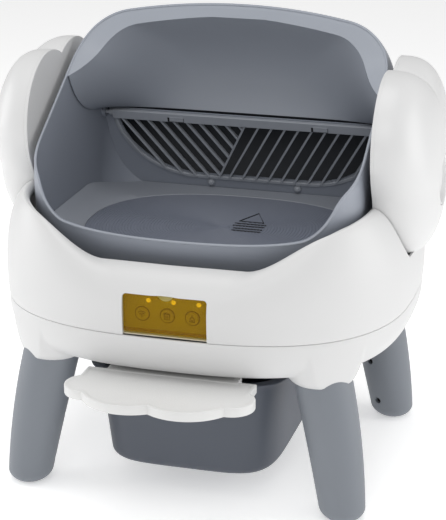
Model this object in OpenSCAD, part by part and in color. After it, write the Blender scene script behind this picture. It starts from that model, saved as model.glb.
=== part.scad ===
// Self-cleaning litter box: a tilting drum carried between two side pods on a
// four-legged tub, with a sieve, a waste bin, a step and a control panel.
// Millimetres. +X right, +Y back, +Z up. The origin is under the middle of the
// object's box, on the floor.

/* [Body] */
// How far the tub reaches past each end of the drum
side_w = 58; // [52:1:74]
// How far the tub reaches past the drum, front and rear
shoulder_d = 33; // [30:1:48]
// Height of the seam between the lower and the upper shell
seam_z = 262; // [250:1:275]
// Height of the flat underside
base_z = 205; // [200:1:212]
// Height at which the tub is widest
belly_z = 299; // [285:1:310]
// How far the belly swells past the seam on each side
belly_out = 2; // [0:0.5:6]
// Rim height at the front entrance
rim_front_z = 350; // [338:1:362]
// Rim height at the shoulders, beside the pods
rim_side_z = 412; // [398:1:418]
// Rim height at the rear
rim_rear_z = 402; // [385:1:415]
// Wall of the moulded shells
wall = 3; // [2:0.5:4]
// Depth of the turned-in lip at the rim
rim_lip = 12; // [6:1:16]
// Width and depth of the chute in the underside, as a share of the plan
chute_share = 0.46; // [0.4:0.01:0.55]
// Parting gap between neighbouring shells
seam_gap = 0.4; // [0.2:0.1:0.6]

/* [Drum] */
// Largest radius of the drum
drum_r = 225; // [215:1:228]
// Width of the drum over its end discs
drum_w = 452; // [436:2:456]
// Radius that rounds the ends of the drum
drum_corner_r = 82; // [80:1:95]
// Radius of the slight crown along the drum
drum_crown_r = 800; // [600:10:850]
// Height of the drum's axis
axis_z = 424; // [420:1:430]
// Distance of the axis behind the middle of the feet
axis_y = 22; // [15:1:26]
// Drop of the front lip below the axis
lip_drop = 48; // [36:1:56]
// Depth of the drum's floor below the axis
floor_drop = 98; // [90:1:110]
// Gap between an end disc and the rim beside it
end_gap = 8; // [6:0.5:12]
// Gap between the drum and the rim at the front and rear
rim_clear = 5; // [3:0.5:8]

/* [Litter bed] */
// Width of the ribbed mat
mat_w = 392; // [340:2:400]
// Depth of the ribbed mat
mat_d = 296; // [250:2:300]
// Thickness of the ribbed mat
mat_t = 3; // [2:0.5:5]
// Height of the ring's outer edge above the floor
ring_h = 32; // [20:1:38]
// Clearance between pieces that lie inside one another
fit_gap = 0.3; // [0.2:0.1:0.5]

/* [Sieve] */
// Distance of the sieve's hinge from the drum's rear
hinge_in = 95; // [93:1:103]
// Height of the sieve's hinge above the axis
hinge_z = 26; // [18:1:30]
// Length of the sieve below its hinge
sieve_len = 111; // [95:1:112]
// Lean of the sieve, lower edge to the rear
sieve_lean = 19; // [15:1:24]
// Width of the flat part of the sieve's lower edge
sieve_flat = 168; // [120:2:200]
// Thickness of the sieve
sieve_t = 3; // [2:0.5:4]
// Width of a slat of the sieve
slat_w = 4.5; // [3:0.5:6]
// Number of gaps in each half of the sieve
slat_count = 10; // [7:1:12]
// Diameter of the sieve's hinge pins
sieve_pin_d = 6; // [5:0.5:8]
// Radial running clearance of pins and shafts
run_gap = 0.05; // [0.03:0.01:0.1]

/* [Pods] */
// Radius of each of the two upper lobes of a pod
lobe_r = 92; // [84:1:96]
// Distance of a lobe's centre from the axis, front to back
lobe_y = 47; // [40:1:54]
// Height of a lobe's centre above the axis
lobe_z = 62; // [54:1:66]
// Radius of the lower half of a pod
pod_low_r = 118; // [110:1:122]
// Depth of a pod's flat foot below the axis
pod_drop = 90; // [80:1:95]
// Thickness of a pod, inner plate included
pod_t = 77; // [70:1:84]
// Thickness of the pod's inner plate
plate_t = 5; // [4:0.5:6]
// Diameter of the dished hub on the outside of a pod
hub_d = 70; // [60:1:80]
// Diameter of the drum's shafts
shaft_d = 30; // [24:1:36]
// Wall of the plain bushes
bush_t = 4; // [3:0.5:6]

/* [Drive] */
// Module of the drive gears
gear_module = 2.5; // [2:0.5:2.5]
// Teeth of the drum gear
gear_teeth = 48; // [40:1:48]
// Teeth of the motor pinion
pinion_teeth = 12; // [12:1:16]
// Thickness of the gears
gear_t = 12; // [8:1:14]
// Backlash at the pitch line
backlash = 0.35; // [0.25:0.05:0.5]
// Diameter of the pinion's shaft
pinion_shaft_d = 8; // [6:1:10]

/* [Legs] */
// Distance of a foot's middle from the tub's side
foot_in_x = 59; // [50:1:69]
// Distance of a foot's middle from the tub's front or rear
foot_in_y = 78; // [68:1:88]
// How far the legs splay outward between top and foot
leg_splay = 37; // [28:1:42]
// Radius of a leg at its top
leg_top_r = 39.5; // [36:0.5:41]
// Radius of a leg near its foot
leg_foot_r = 30; // [25:0.5:33]
// Diameter of a rubber foot pad
pad_d = 24; // [18:1:30]
// Height of a rubber foot pad
pad_h = 4; // [3:0.5:6]

/* [Step] */
// Height of the step's tread
step_z = 201; // [197:0.5:202]
// Thickness of the step
step_t = 13; // [9:0.5:14]
// Half width of the step's neck
step_neck = 116; // [100:1:120]
// How far the step stands out in front of the tub
step_out = 85; // [70:1:105]
// Height of the rim around the tread
tread_lip = 0.8; // [0.5:0.1:1.2]

/* [Waste bin] */
// Width of the bin at its top
bin_w = 272; // [250:2:280]
// Depth of the bin, front to back
bin_d = 330; // [300:2:340]
// Taper of each side of the bin
bin_taper = 14; // [6:1:20]
// Height of the bin's bottom above the floor
bin_floor_z = 38; // [25:1:50]
// Height of the bin's rim
bin_top_z = 183; // [170:1:184]
// Wall of the bin
bin_wall = 2.5; // [2:0.5:4]
// Depth of the hand dip in the bin's front rim
bin_dip = 26; // [15:1:35]
// Width of the bin's rim flange
bin_flange = 9; // [6:0.5:12]

/* [Control panel] */
// Width of the panel's window
window_w = 113; // [100:1:120]
// Height of the panel's window
window_h = 56; // [50:1:58]
// Height of the window's lower edge above the seam
window_up = 1.5; // [1:0.5:4]
// Depth of the tray behind the window
tray_depth = 11; // [9:0.5:14]
// Diameter of a button
button_d = 17.5; // [14:0.5:20]
// Spacing of the buttons
button_pitch = 34; // [30:1:36]
// Travel of a button
button_travel = 1.2; // [0.8:0.1:1.4]
// Thickness of the window's flap
flap_t = 2.4; // [2:0.2:3]
// Diameter of the flap's hinge pins
flap_pin_d = 3; // [2.5:0.5:4]
// Diameter of the indicator lenses
lens_d = 6; // [4:0.5:8]

/* [Hidden] */
$fn = 64;

// Tub plan: a superellipse about the middle of the feet
drum_half = drum_w / 2;
plan_a = drum_half + side_w - belly_out;
plan_b = drum_r + shoulder_d;
plan_mid = 2;
plan_n = 2.75;
// How far the rear corners swell past that plan
rear_swell = 9;
plan_steps = 96;
front_face = plan_mid - plan_b;
step_reach = step_out - front_face;
// The origin sits under the middle of the step's front and the tub's rear
y_shift = (step_reach - (plan_mid + plan_b + belly_out)) / 2;

// Underside: flat in the middle, rounded up to the seam
flat_share = 0.84;
underside_n = 2.5;
// Sockets that swell down over the legs
socket_drop = 16;
socket_z = base_z - socket_drop;
socket_r = 58;
socket_rise = 60;
socket_n = 7;
socket_blend = 3;
// Columns and shares of the plan that lie over one leg
socket_from = 3;
socket_to = 20;
socket_shares = [1, 0.994, 0.983, 0.966, 0.945, 0.91, 0.87, 0.84, 0.8, 0.75, 0.69, 0.62, 0.54];
edge_share = 0.91;
edge_drop = 2;
edge_inset = 1.1;
shell_top = seam_z - seam_gap / 2;
shell_shares = concat(socket_shares, [chute_share]);

// Rim plan, kept clear of the drum
rim_a = drum_half + end_gap;
rim_b = drum_r + rim_clear;
rim_n = 5;
rear_n = 4.2;
// Bend of the rim from belly to top: round on a wide shoulder, tight on a narrow one
wide_bend = 0.9;
narrow_bend = 0.2;
narrow_gap = 10;
bend_span = 15;
rim_slope = 126;
rim_rise_to = drum_half;
rim_rise_from = rim_rise_to - rim_slope;
rear_fade = 60;

// Drum profile: crown arc, corner arc, flat end disc
corner_x = drum_half - drum_corner_r;
crown_base = drum_r - drum_crown_r;
corner_y = crown_base + sqrt(pow(drum_crown_r - drum_corner_r, 2) - pow(corner_x, 2));
corner_from = asin(corner_x / (drum_crown_r - drum_corner_r));
corner_steps = 9;
crown_steps = 7;
// Side of a block that holds the whole drum
room = 3 * drum_r;
// The drum's rim from the side: level lip, steep cheek, long slope, raised hood
lip_in = 18;
cheek_in = 46;
cheek_up = 15;
hood_y = 43;
hood_in = 77;
rim_over = 35;
rim_lip_y = lip_in - drum_r;
rim_cheek = [cheek_in - drum_r, cheek_up];
rim_hood = [hood_y, drum_r - hood_in];
rim_top = [hood_y + 84, drum_r + 33];
rim_rounds = [22, 40, 120];
rim_far = -drum_r - rim_over;

// Mat and ring
mat_n = 2.4;
ring_steps = 72;
ring_rear_h = 6;
// Sieve plate behind its hinge bar, and the frame behind the plate
bar_r = 5;
hinge_y = drum_r - hinge_in;
plate_back = bar_r;
frame_t = 3;
frame_lap = 7;
frame_up = 4;
// Slats: margin beside the bar, and the slant as a run over a drop
slat_edge = 4;
slat_drop = 160;
slat_run = 67;
bed_wall = drum_half - wall;
sieve_half = bed_wall - 14;
pin_boss_r = 8;
boss_t = 5;
stop_r = 6;
stop_x = 67;

// Legs
leg_rake = 15;
leg_bow = 0.35;
leg_swell = 1.8;
foot_span_x = 2 * (plan_a + belly_out - foot_in_x);
foot_span_y = 2 * (plan_b - foot_in_y);
leg_top = [foot_span_x / 2 - leg_splay, foot_span_y / 2 - leg_rake];
leg_high = base_z + 31;
leg_sides = 24;
leg_rows = 9;
foot_round = 14;
screw_r = 4;
screw_head = 2.5;
screw_deep = 7;
screw_low_z = 32;
screw_high_z = 98;
screw_heights = [screw_low_z, screw_high_z];
// Bearings of the screws on a front and on a rear leg, before mirroring
front_screw_dir = 195;
rear_screw_dir = 244;

// Pod planes, from the drum outward
plate_x = rim_a + 2;
cover_x = plate_x + plate_t;
pod_gap = 1.8;
pod_n = 2.6;
// Angles from the top: end of the notch between the lobes, end of the knee below them
notch_end = 38;
knee_end = 110;
knee_span = 20;
pod_steps = 72;
pod_rows = 9;
dish_depth = 12;
tower_x = cover_x;
tower_t = 12;
// Tower: half widths at its foot, at the pod's foot and at its head
tower_foot = 70;
tower_head = 46;
tower_corner = [tower_x + tower_t, axis_y + tower_foot];
tower_z = underside(tower_corner, plan_share(tower_corner)) + wall + 6 * fit_gap - axis_z;
tower_neck = mix(tower_head, tower_foot, -pod_drop / tower_z);
tower_slot = 8;
bush_flange = 4;
bush_d = shaft_d + 2 * (bush_t + run_gap);
gear_x = tower_x + tower_t + 4;
clip_t = 2;
// Radius and thickness of the flange that joins a shaft to the drum's end
shaft_flange = [55, 4];
shaft_end = gear_x + gear_t + clip_t + 2;
gear_pitch_r = gear_module * gear_teeth / 2;
pinion_pitch_r = gear_module * pinion_teeth / 2;
gear_span = gear_pitch_r + pinion_pitch_r + 0.1;
pinion_dir = atan2(lobe_z, lobe_y);
pinion_at = [gear_span * cos(pinion_dir), gear_span * sin(pinion_dir)];
gearbox_x = gear_x + gear_t + 3;
gearbox_t = 18;
gearbox_post_r = 4;
gearbox_posts = [[28, 22], [-12, 24], [30, -20]];
gearbox_w = 58;
gearbox_h = 60;
gearbox_in = 20;
gearbox_drop = 28;
gearbox_round = 14;
gearbox_up = 4;
motor_r = 9;
motor_len = 34;

// Step outline: round lobes on a straight neck
tongue_len = 106;
step_in = 30;
side_lobe_x = 98;
side_lobe_out = 25;
step_back = -front_face - tongue_len;
step_root = -front_face - step_in;
step_side_r = 30;
step_side = [side_lobe_x, side_lobe_out - front_face];
step_lobe_r = 70;
step_lobe_x = 38;
tongue_w = 180;
tread_inset = 5;

// Bin and rails
bin_in = 56;
bin_front = front_face + bin_in;
bin_steps = 64;
bin_n = 5;
bin_round = 14;
dip_from = 26;
dip_slope = 44;
rail_short = 135;
flange_t = 3;
rail_t = 3;

// Control panel planes
flap_face = front_face + 4;
tray_face = flap_face + tray_depth;
window_z = seam_z + window_up;
button_z = window_z + 26;
lens_z = window_z + 45;
lens_dx = 8.5;
flap_axis_z = window_z + 6;
flap_axis_y = flap_face + flap_t + 2.3;
flap_low = flap_axis_z - 2;
lug_w = 5;
lug_r = 2.2;
tray_front = front_face + wall + 3.5;
tray_wall = 3.5;
tray_lip = 0.6;
pin_long = 2.4;
thumb_r = 12;
thumb_up = 5;
// Buttons stand proud of the tray by their travel, and reach a little into it
button_rise = button_travel + 1.3;
button_root = 0.5;
tray_t = button_root + button_travel + fit_gap;
board_t = 1.6;
board_edge = 4;
flap_side = 0.5;
window_cut = 8;

// Power inlet under the rear of the tub
inlet = [26, 22, 14];
inlet_at = [-120, 140];
jack_d = 5.5;
jack_deep = 10;

function unit(v) = v / norm(v);
function mix(a, b, k) = a + (b - a) * k;
function clamp(v, low, high) = min(max(v, low), high);
function ease(k) = let (c = clamp(k, 0, 1)) c * c * (3 - 2 * c);
function spow(v, e) = sign(v) * pow(abs(v), e);
function oval(a, b, n, t) = [a * spow(cos(t), 2 / n), b * spow(sin(t), 2 / n)];
// Outward direction of that oval, and its point toward a direction
function oval_out(a, b, n, t) = unit([spow(cos(t), 2 - 2 / n) / a, spow(sin(t), 2 - 2 / n) / b]);
function oval_toward(a, b, n, v) = v / pow(pow(abs(v[0]) / a, n) + pow(abs(v[1]) / b, n), 1 / n);
// Arc that rounds the corner p1 between p0 and p2
function rounded(p0, p1, p2, r, steps = 8) =
    let (u = unit(p0 - p1), v = unit(p2 - p1), half = acos(u * v) / 2,
         c = p1 + unit(u + v) * r / sin(half),
         a = p1 + u * r / tan(half) - c, b = p1 + v * r / tan(half) - c)
    [for (k = [0:steps]) c + r * unit(mix(a, b, k / steps))];

// Solid whose sections close on themselves and whose row of sections does too; from one point of
// the section on its quads are split the other way, so that two parallel skins stay parallel
module ring_solid(grid, flip_from = 1000) {
    n = len(grid);
    m = len(grid[0]);
    polyhedron([for (row = grid) each row],
        [for (i = [0:n - 1], j = [0:m - 1])
            let (a = i * m + j, b = i * m + (j + 1) % m,
                 c = (i + 1) % n * m + (j + 1) % m, d = (i + 1) % n * m + j)
            each j < flip_from ? [[a, b, c], [a, c, d]] : [[a, b, d], [b, c, d]]]);
}
// Solid of stacked closed rings, with a fan at each end
module stack_solid(rings) {
    n = len(rings);
    m = len(rings[0]);
    mean = function (ring) [for (k = [0:2]) sum_of([for (p = ring) p[k]]) / m];
    polyhedron(concat([for (ring = rings) each ring], [mean(rings[0]), mean(rings[n - 1])]),
        concat(
            [for (i = [0:n - 2], j = [0:m - 1])
                let (a = i * m + j, b = i * m + (j + 1) % m, c = b + m, d = a + m)
                each [[a, c, b], [a, d, c]]],
            [for (j = [0:m - 1]) [n * m, j, (j + 1) % m]],
            [for (j = [0:m - 1]) [n * m + 1, (n - 1) * m + (j + 1) % m, (n - 1) * m + j]]));
}
function sum_of(list, i = 0) = i < len(list) ? list[i] + sum_of(list, i + 1) : 0;
// Thin sheet between a front grid and a back grid of points
module sheet_solid(front, back) {
    n = len(front);
    m = len(front[0]);
    half = n * m;
    edge = concat([for (j = [0:m - 2]) j], [for (i = [0:n - 2]) i * m + m - 1],
                  [for (j = [m - 1:-1:1]) (n - 1) * m + j], [for (i = [n - 1:-1:1]) i * m]);
    polyhedron([for (row = concat(front, back)) each row],
        concat(
            [for (i = [0:n - 2], j = [0:m - 2])
                let (a = i * m + j)
                each [[a, a + 1, a + m + 1], [a, a + m + 1, a + m]]],
            [for (i = [0:n - 2], j = [0:m - 2])
                let (a = half + i * m + j)
                each [[a, a + m + 1, a + 1], [a, a + m, a + m + 1]]],
            [for (k = [0:len(edge) - 1])
                let (a = edge[k], b = edge[(k + 1) % len(edge)])
                each [[a, half + b, b], [a, half + a, half + b]]]));
}
// Outline in the Y-Z plane, run along X about the middle
module along_x(length) {
    rotate([90, 0, 90]) linear_extrude(length, center = true) children();
}
// Outline in the Y-Z plane, run from x0 by a length toward +X
module from_x(x0, length) {
    translate([x0, 0, 0]) rotate([90, 0, 90]) linear_extrude(length) children();
}
module rod_x(x0, length, r) {
    translate([x0, 0, 0]) rotate([0, 90, 0]) cylinder(r = r, h = length);
}
module seat() {
    translate([0, y_shift, 0]) children();
}
module on_axis() {
    translate([0, axis_y + y_shift, axis_z]) children();
}
module on_side(side) {
    mirror([side < 0 ? 1 : 0, 0, 0]) children();
}

// Height of the underside over a point of the plan
function plan_share(p) =
    pow(pow(abs(p[0]) / plan_a, plan_n) + pow(abs(p[1] - plan_mid) / plan_b, plan_n), 1 / plan_n);
function socket_at(p) =
    socket_z + socket_rise * pow(norm([abs(p[0]) - leg_top[0], abs(p[1]) - leg_top[1]]) / socket_r, socket_n);
function bowl_at(share) =
    let (k = clamp((share - flat_share) / (1 - flat_share), 0, 1))
    base_z + (seam_z - base_z) * (1 - pow(1 - pow(k, underside_n), 1 / underside_n));
function soft_min(a, b) =
    min(a, b) - socket_blend * ln(1 + exp(-min(abs(a - b) / socket_blend, 60)));
function edge_at(share) =
    let (k = clamp((share - edge_share) / (1 - edge_share), 0, 1))
    socket_z + (seam_z - socket_z) * (1 - sqrt(1 - k * k));
function underside(p, share) =
    min(max(soft_min(bowl_at(share), socket_at(p)), edge_at(share)), seam_z);
function swell_at(t) =
    let (off = abs(t - 90))
    off < 60 ? rear_swell * pow(sin(3 * off), 2) : 0;
function plan_edge(t) =
    oval(plan_a, plan_b, plan_n, t) + swell_at(t) * oval_out(plan_a, plan_b, plan_n, t);
function plan_at(i, share) = [0, plan_mid] + share * plan_edge(360 * i / plan_steps);
function shell_out(i, share) =
    let (p = plan_at(i, share))
    [p[0], p[1], share == 1 ? shell_top : min(underside(p, share), shell_top - edge_drop)];
function shell_in(i, share) =
    let (slim = share > edge_share ? edge_inset : 0,
         p = plan_at(i, share * (1 - slim * wall / plan_b)))
    [p[0], p[1], share == 1 ? shell_top : min(shell_out(i, share)[2] + wall, shell_top - seam_gap)];

module lower_shell() {
    color("white") seat()
        ring_solid([for (i = [0:plan_steps - 1])
            concat([for (share = shell_shares) shell_out(i, share)],
                   [for (k = [len(shell_shares) - 1:-1:0]) shell_in(i, shell_shares[k])])],
            len(shell_shares));
}
// The shell's outer skin over one leg, as a block that reaches up from it
module socket_block(sx, sy) {
    first = sy > 0 ? (sx > 0 ? socket_from : plan_steps / 2 - socket_to)
                   : (sx < 0 ? plan_steps / 2 + socket_from : plan_steps - socket_to);
    skin = [for (i = [0:socket_to - socket_from])
        [for (share = socket_shares) shell_out(first + i, share)]];
    up = [for (row = skin) [for (p = row) p + [0, 0, socket_rise]]];
    sheet_solid(up, skin);
}

// Rim height over a point of the rim's plan
function rim_at(p) =
    let (side = ease((abs(p[0]) - rim_rise_from) / (rim_rise_to - rim_rise_from)),
         rear = ease((p[1] - axis_y) / rear_fade))
    mix(mix(rim_front_z, rim_side_z, side), mix(rim_rear_z, rim_side_z, side), rear);
module upper_shell() {
    arc = [for (a = [0:15:90]) a];
    low = seam_z + seam_gap / 2;
    section = function (t)
        let (q = [0, plan_mid] + plan_edge(t),
             way = oval_out(plan_a, plan_b, plan_n, t),
             o = q + belly_out * way,
             r = [0, axis_y] + (t < 180 ? oval_toward(rim_a, rim_b, rear_n, q - [0, plan_mid])
                                        : oval(rim_a, rim_b, rim_n, t)),
             top = rim_at(r),
             bend = mix(narrow_bend, wide_bend, clamp(((o - r) * way - narrow_gap) / bend_span, 0, 1)),
             flat = function (p, z) [p[0], p[1], z],
             over = function (a, d) flat(mix(r + way * d, o - way * d, pow(cos(a), bend)),
                                         belly_z + (top - belly_z - d) * sin(a)))
        concat([flat(q, low), flat(mix(q, o, 0.75), mix(low, belly_z, 0.5))],
               [for (a = arc) over(a, 0)],
               [flat(r, top - rim_lip), flat(r + way * wall, top - rim_lip)],
               [for (k = [len(arc) - 1:-1:0]) over(arc[k], wall)],
               [flat(mix(q, o, 0.75) - way * wall, mix(low, belly_z, 0.5)), flat(q - way * wall, low)]);
    color("white") seat()
        difference() {
            ring_solid([for (i = [plan_steps - 1:-1:0]) section(360 * i / plan_steps)]);
            for (side = [-1, 1])
                translate([0, axis_y, axis_z]) on_side(side)
                    from_x(rim_a - end_gap / 2, pod_t + 2 * end_gap) pod_outline(pod_gap);
            window_hole();
        }
}
module window_hole() {
    low = seam_z - 1;
    translate([-window_w / 2 - flap_side, front_face - window_cut, low])
        cube([window_w + 2 * flap_side, tray_depth + 2 * window_cut, window_z + window_h + flap_side - low]);
}

// Pod outline about the axis: two round lobes above, one round below
function lobe_reach(a) =
    let (c = [lobe_y, lobe_z], along = c * [abs(sin(a)), cos(a)])
    along + sqrt(lobe_r * lobe_r - c * c + along * along);
function pod_reach(a, notch = 1) =
    let (open = abs(a) < 90 ? lobe_reach(a) : pod_low_r,
         knee = mix(pod_low_r, lobe_reach(90), ease((knee_end - abs(a)) / knee_span)),
         raw = abs(a) < 90 ? open : knee,
         full = norm([lobe_y, lobe_z]) + lobe_r)
    abs(a) < notch_end ? mix(mix(full, raw, 0.35), raw, notch) : raw;
function pod_point(a, k, grow = 0) =
    let (r = pod_reach(a, pow(k, 3)) * k + grow)
    [r * sin(a), max(r * cos(a), -pod_drop - grow)];
function pod_angle(i) = 360 * i / pod_steps - 180;
module pod_outline(grow) {
    polygon([for (i = [0:pod_steps - 1]) pod_point(pod_angle(i), 1, grow)]);
}
function pod_dome(k) = pow(max(1 - pow(k, pod_n), 0), 1 / pod_n);
module pod_plate(side) {
    color("gainsboro") on_axis() on_side(side)
        difference() {
            from_x(plate_x, plate_t) pod_outline(0);
            rod_x(plate_x - 1, plate_t + 2, bush_d / 2 + bush_flange + 1);
        }
}
module pod_cover(side) {
    depth = pod_t - plate_t;
    ks = [for (j = [0:pod_rows - 1]) sin(90 * (j + 0.12) / (pod_rows - 1 + 0.12))];
    outer = [for (k = ks) [for (i = [0:pod_steps - 1])
        let (p = pod_point(pod_angle(i), k)) [cover_x + depth * pod_dome(k), p[0], p[1]]]];
    inner = [for (k = ks) [for (i = [0:pod_steps - 1])
        let (p = pod_point(pod_angle(i), k), f = 1 - wall / pod_reach(pod_angle(i)))
        [cover_x + (depth - wall) * pod_dome(k), p[0] * f, max(p[1] * f, -pod_drop + wall)]]];
    rings = concat(inner, [for (j = [pod_rows - 1:-1:0]) outer[j]]);
    color("white") on_axis() on_side(side)
        difference() {
            stack_solid(rings);
            rod_x(cover_x + depth - 2 * dish_depth, 3 * dish_depth, hub_d / 2);
            translate([cover_x - 1, -tower_neck - 1, -pod_drop - 1])
                cube([tower_t + 1 + 2 * fit_gap, 2 * tower_neck + 2, wall + 2]);
        }
}
// Dished hub: a rounded rim, a sunk ring and a low centre button
module hub_dish(side) {
    top = cover_x + pod_t - plate_t;
    r = hub_d / 2 - fit_gap;
    rim = dish_depth / 6;
    color("gainsboro") on_axis() on_side(side)
        rotate([0, 90, 0])
            rotate_extrude()
                polygon([[0, top - dish_depth], [r, top - dish_depth], [r, top - rim],
                         [r - rim, top - rim / 2], [r - 2 * rim, top - rim],
                         [r - 4 * rim, top - 4 * rim], [r - 7 * rim, top - 4.5 * rim],
                         [r - 7.5 * rim, top - 3.25 * rim], [0, top - 3 * rim]]);
}

// Inner frame that carries a bush, and on the right the gearbox
module pivot_tower(side) {
    drive = side > 0;
    rib = 2 * tower_slot;
    arm = gear_module * gear_teeth;
    color("dimgray") on_axis() on_side(side)
        difference() {
            union() {
                from_x(tower_x, tower_t)
                    union() {
                        polygon([[-tower_foot, tower_z], [tower_foot, tower_z],
                                 [tower_head, 0], [-tower_head, 0]]);
                        circle(r = tower_head);
                        if (drive)
                            polygon([[-tower_head, 0], [tower_head, 0], [arm * 0.83, arm / 2],
                                     [arm * 0.58, arm * 0.85], [arm * 0.13, arm * 0.87]]);
                    }
                if (drive)
                    for (q = gearbox_posts)
                        translate([0, pinion_at[0] + q[0], pinion_at[1] + q[1]])
                            rod_x(tower_x, gearbox_x - tower_x, gearbox_post_r);
            }
            rod_x(tower_x - 1, tower_t + 2, bush_d / 2);
            for (y = [-1, 1])
                from_x(tower_x - 1, tower_t + 2)
                    polygon([[y * tower_slot, tower_z + rib], [y * (tower_foot - rib), tower_z + rib],
                             [y * (tower_head - tower_slot), -tower_head - rib],
                             [y * tower_slot, -tower_head - rib]]);
            if (drive)
                translate([0, pinion_at[0], pinion_at[1]])
                    rod_x(tower_x - 1, tower_t + 2, pinion_shaft_d / 2 + run_gap);
        }
}
module bush(side) {
    color("khaki") on_axis() on_side(side)
        difference() {
            union() {
                rod_x(tower_x, tower_t, bush_d / 2);
                rod_x(tower_x - bush_flange / 2, bush_flange / 2, bush_d / 2 + bush_flange);
            }
            rod_x(tower_x - bush_flange, tower_t + 2 * bush_flange, shaft_d / 2 + run_gap);
        }
}
module drum_shaft(side) {
    color("silver") on_axis() on_side(side)
        union() {
            rod_x(drum_half, shaft_flange[1], shaft_flange[0]);
            rod_x(drum_half, shaft_end - drum_half, shaft_d / 2);
        }
}
module shaft_clips() {
    color("black") on_axis()
        for (side = [-1, 1])
            on_side(side)
                difference() {
                    rod_x(shaft_end - 2 - clip_t, clip_t, shaft_d / 2 + 6);
                    rod_x(shaft_end - 3 - clip_t, clip_t + 2, shaft_d / 2 + run_gap);
                }
}

// Involute gear outline, one flank at a time
function involute(base, a) = base * [cos(a) + a * PI / 180 * sin(a), sin(a) - a * PI / 180 * cos(a)];
function turned(p, a) = [p[0] * cos(a) - p[1] * sin(a), p[0] * sin(a) + p[1] * cos(a)];
function gear_points(teeth) =
    let (pitch = gear_module * teeth / 2, base = pitch * cos(20),
         tip = pitch + gear_module * 0.95, root = pitch - gear_module * 1.2,
         last = acos(base / tip), end = tan(last) * 180 / PI,
         first = root < base ? 0 : tan(acos(base / root)) * 180 / PI,
         skew = 90 / teeth - backlash / 4 / pitch * 180 / PI + tan(20) * 180 / PI - 20,
         flank = [for (k = [0:5]) involute(base, mix(first, end, k / 5))])
    [for (i = [0:teeth - 1])
        each concat(
            [turned([root, 0], 360 * i / teeth - skew - 0.5)],
            [for (p = flank) turned(p, 360 * i / teeth - skew)],
            [for (k = [5:-1:0]) turned([flank[k][0], -flank[k][1]], 360 * i / teeth + skew)],
            [turned([root, 0], 360 * i / teeth + skew + 0.5)])];
module drive_gear() {
    color("ivory") on_axis()
        difference() {
            from_x(gear_x, gear_t)
                rotate(pinion_dir) polygon(gear_points(gear_teeth));
            rod_x(gear_x - 1, gear_t + 2, shaft_d / 2 + run_gap);
        }
}
module drive_pinion() {
    color("ivory") on_axis() translate([0, pinion_at[0], pinion_at[1]])
        union() {
            from_x(gear_x, gear_t)
                rotate(pinion_dir + 180 + 180 / pinion_teeth) polygon(gear_points(pinion_teeth));
            rod_x(tower_x + 1, gearbox_x + 6 - tower_x - 1, pinion_shaft_d / 2);
        }
}
module gearbox() {
    color("slategray") on_axis() translate([0, pinion_at[0], pinion_at[1]])
        difference() {
            from_x(gearbox_x, gearbox_t)
                union() {
                    translate([-gearbox_in, -gearbox_drop]) square([gearbox_w, gearbox_h]);
                    translate([-gearbox_in, gearbox_up]) circle(r = gearbox_round);
                }
            rod_x(gearbox_x - 1, 8, pinion_shaft_d / 2 + run_gap);
        }
}
module drive_motor() {
    color("silver") on_axis()
        translate([gearbox_x + gearbox_t / 2, pinion_at[0] + gearbox_in, pinion_at[1] - gearbox_drop - motor_len])
            cylinder(r = motor_r, h = motor_len);
}

// Leg: round sections along a bowed line, cut to the skin above
function leg_axis(z) =
    let (k = clamp(z / base_z, 0, 1))
    [foot_span_x / 2 - leg_splay * (k + leg_bow * k * (k - 1)), foot_span_y / 2 - leg_rake * k];
function leg_radius(z) =
    let (k = clamp(z / base_z, 0, 1), tip = clamp((z - pad_h) / foot_round, 0, 1))
    mix(leg_foot_r, leg_top_r, 1 - pow(1 - k, leg_swell)) * sqrt(1 - 0.5 * pow(1 - tip, 2));
module leg(sx, sy) {
    ring = function (z)
        let (c = leg_axis(z), r = leg_radius(z))
        [for (j = [0:leg_sides - 1])
            let (a = 360 * j / leg_sides, p = c + r * [cos(a), sin(a)])
            [p[0], p[1], z]];
    heights = [for (k = [0:leg_rows]) pad_h + (socket_z - 12 - pad_h) * pow(k / leg_rows, 1.6)];
    color("slategray") seat()
        difference() {
            in_quarter(sx, sy)
                difference() {
                    stack_solid([for (z = concat(heights, [leg_high])) ring(z)]);
                    for (z = screw_heights)
                        leg_hole(z, sy) cylinder(r = screw_r + 1, h = 2 * screw_deep);
                }
            translate([0, 0, -fit_gap]) socket_block(sx, sy);
        }
}
// Place of a screw on the inner side of a leg, looking out of its hole
module leg_hole(z, sy) {
    face = sy > 0 ? rear_screw_dir : front_screw_dir;
    c = leg_axis(z) + (leg_radius(z) - screw_deep) * [cos(face), sin(face)];
    translate([c[0], c[1], z]) rotate([0, 90, face]) children();
}
module in_quarter(sx, sy) {
    mirror([sx < 0 ? 1 : 0, 0, 0]) mirror([0, sy < 0 ? 1 : 0, 0]) children();
}
module foot_pads() {
    color("black") seat()
        for (sx = [-1, 1], sy = [-1, 1])
            translate([sx * foot_span_x / 2, sy * foot_span_y / 2, 0])
                cylinder(d = pad_d, h = pad_h);
}
module leg_screws() {
    color("black") seat()
        for (sx = [-1, 1], sy = [-1, 1], z = screw_heights)
            in_quarter(sx, sy) leg_hole(z, sy) translate([0, 0, fit_gap]) cylinder(r = screw_r, h = screw_head);
}

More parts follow.
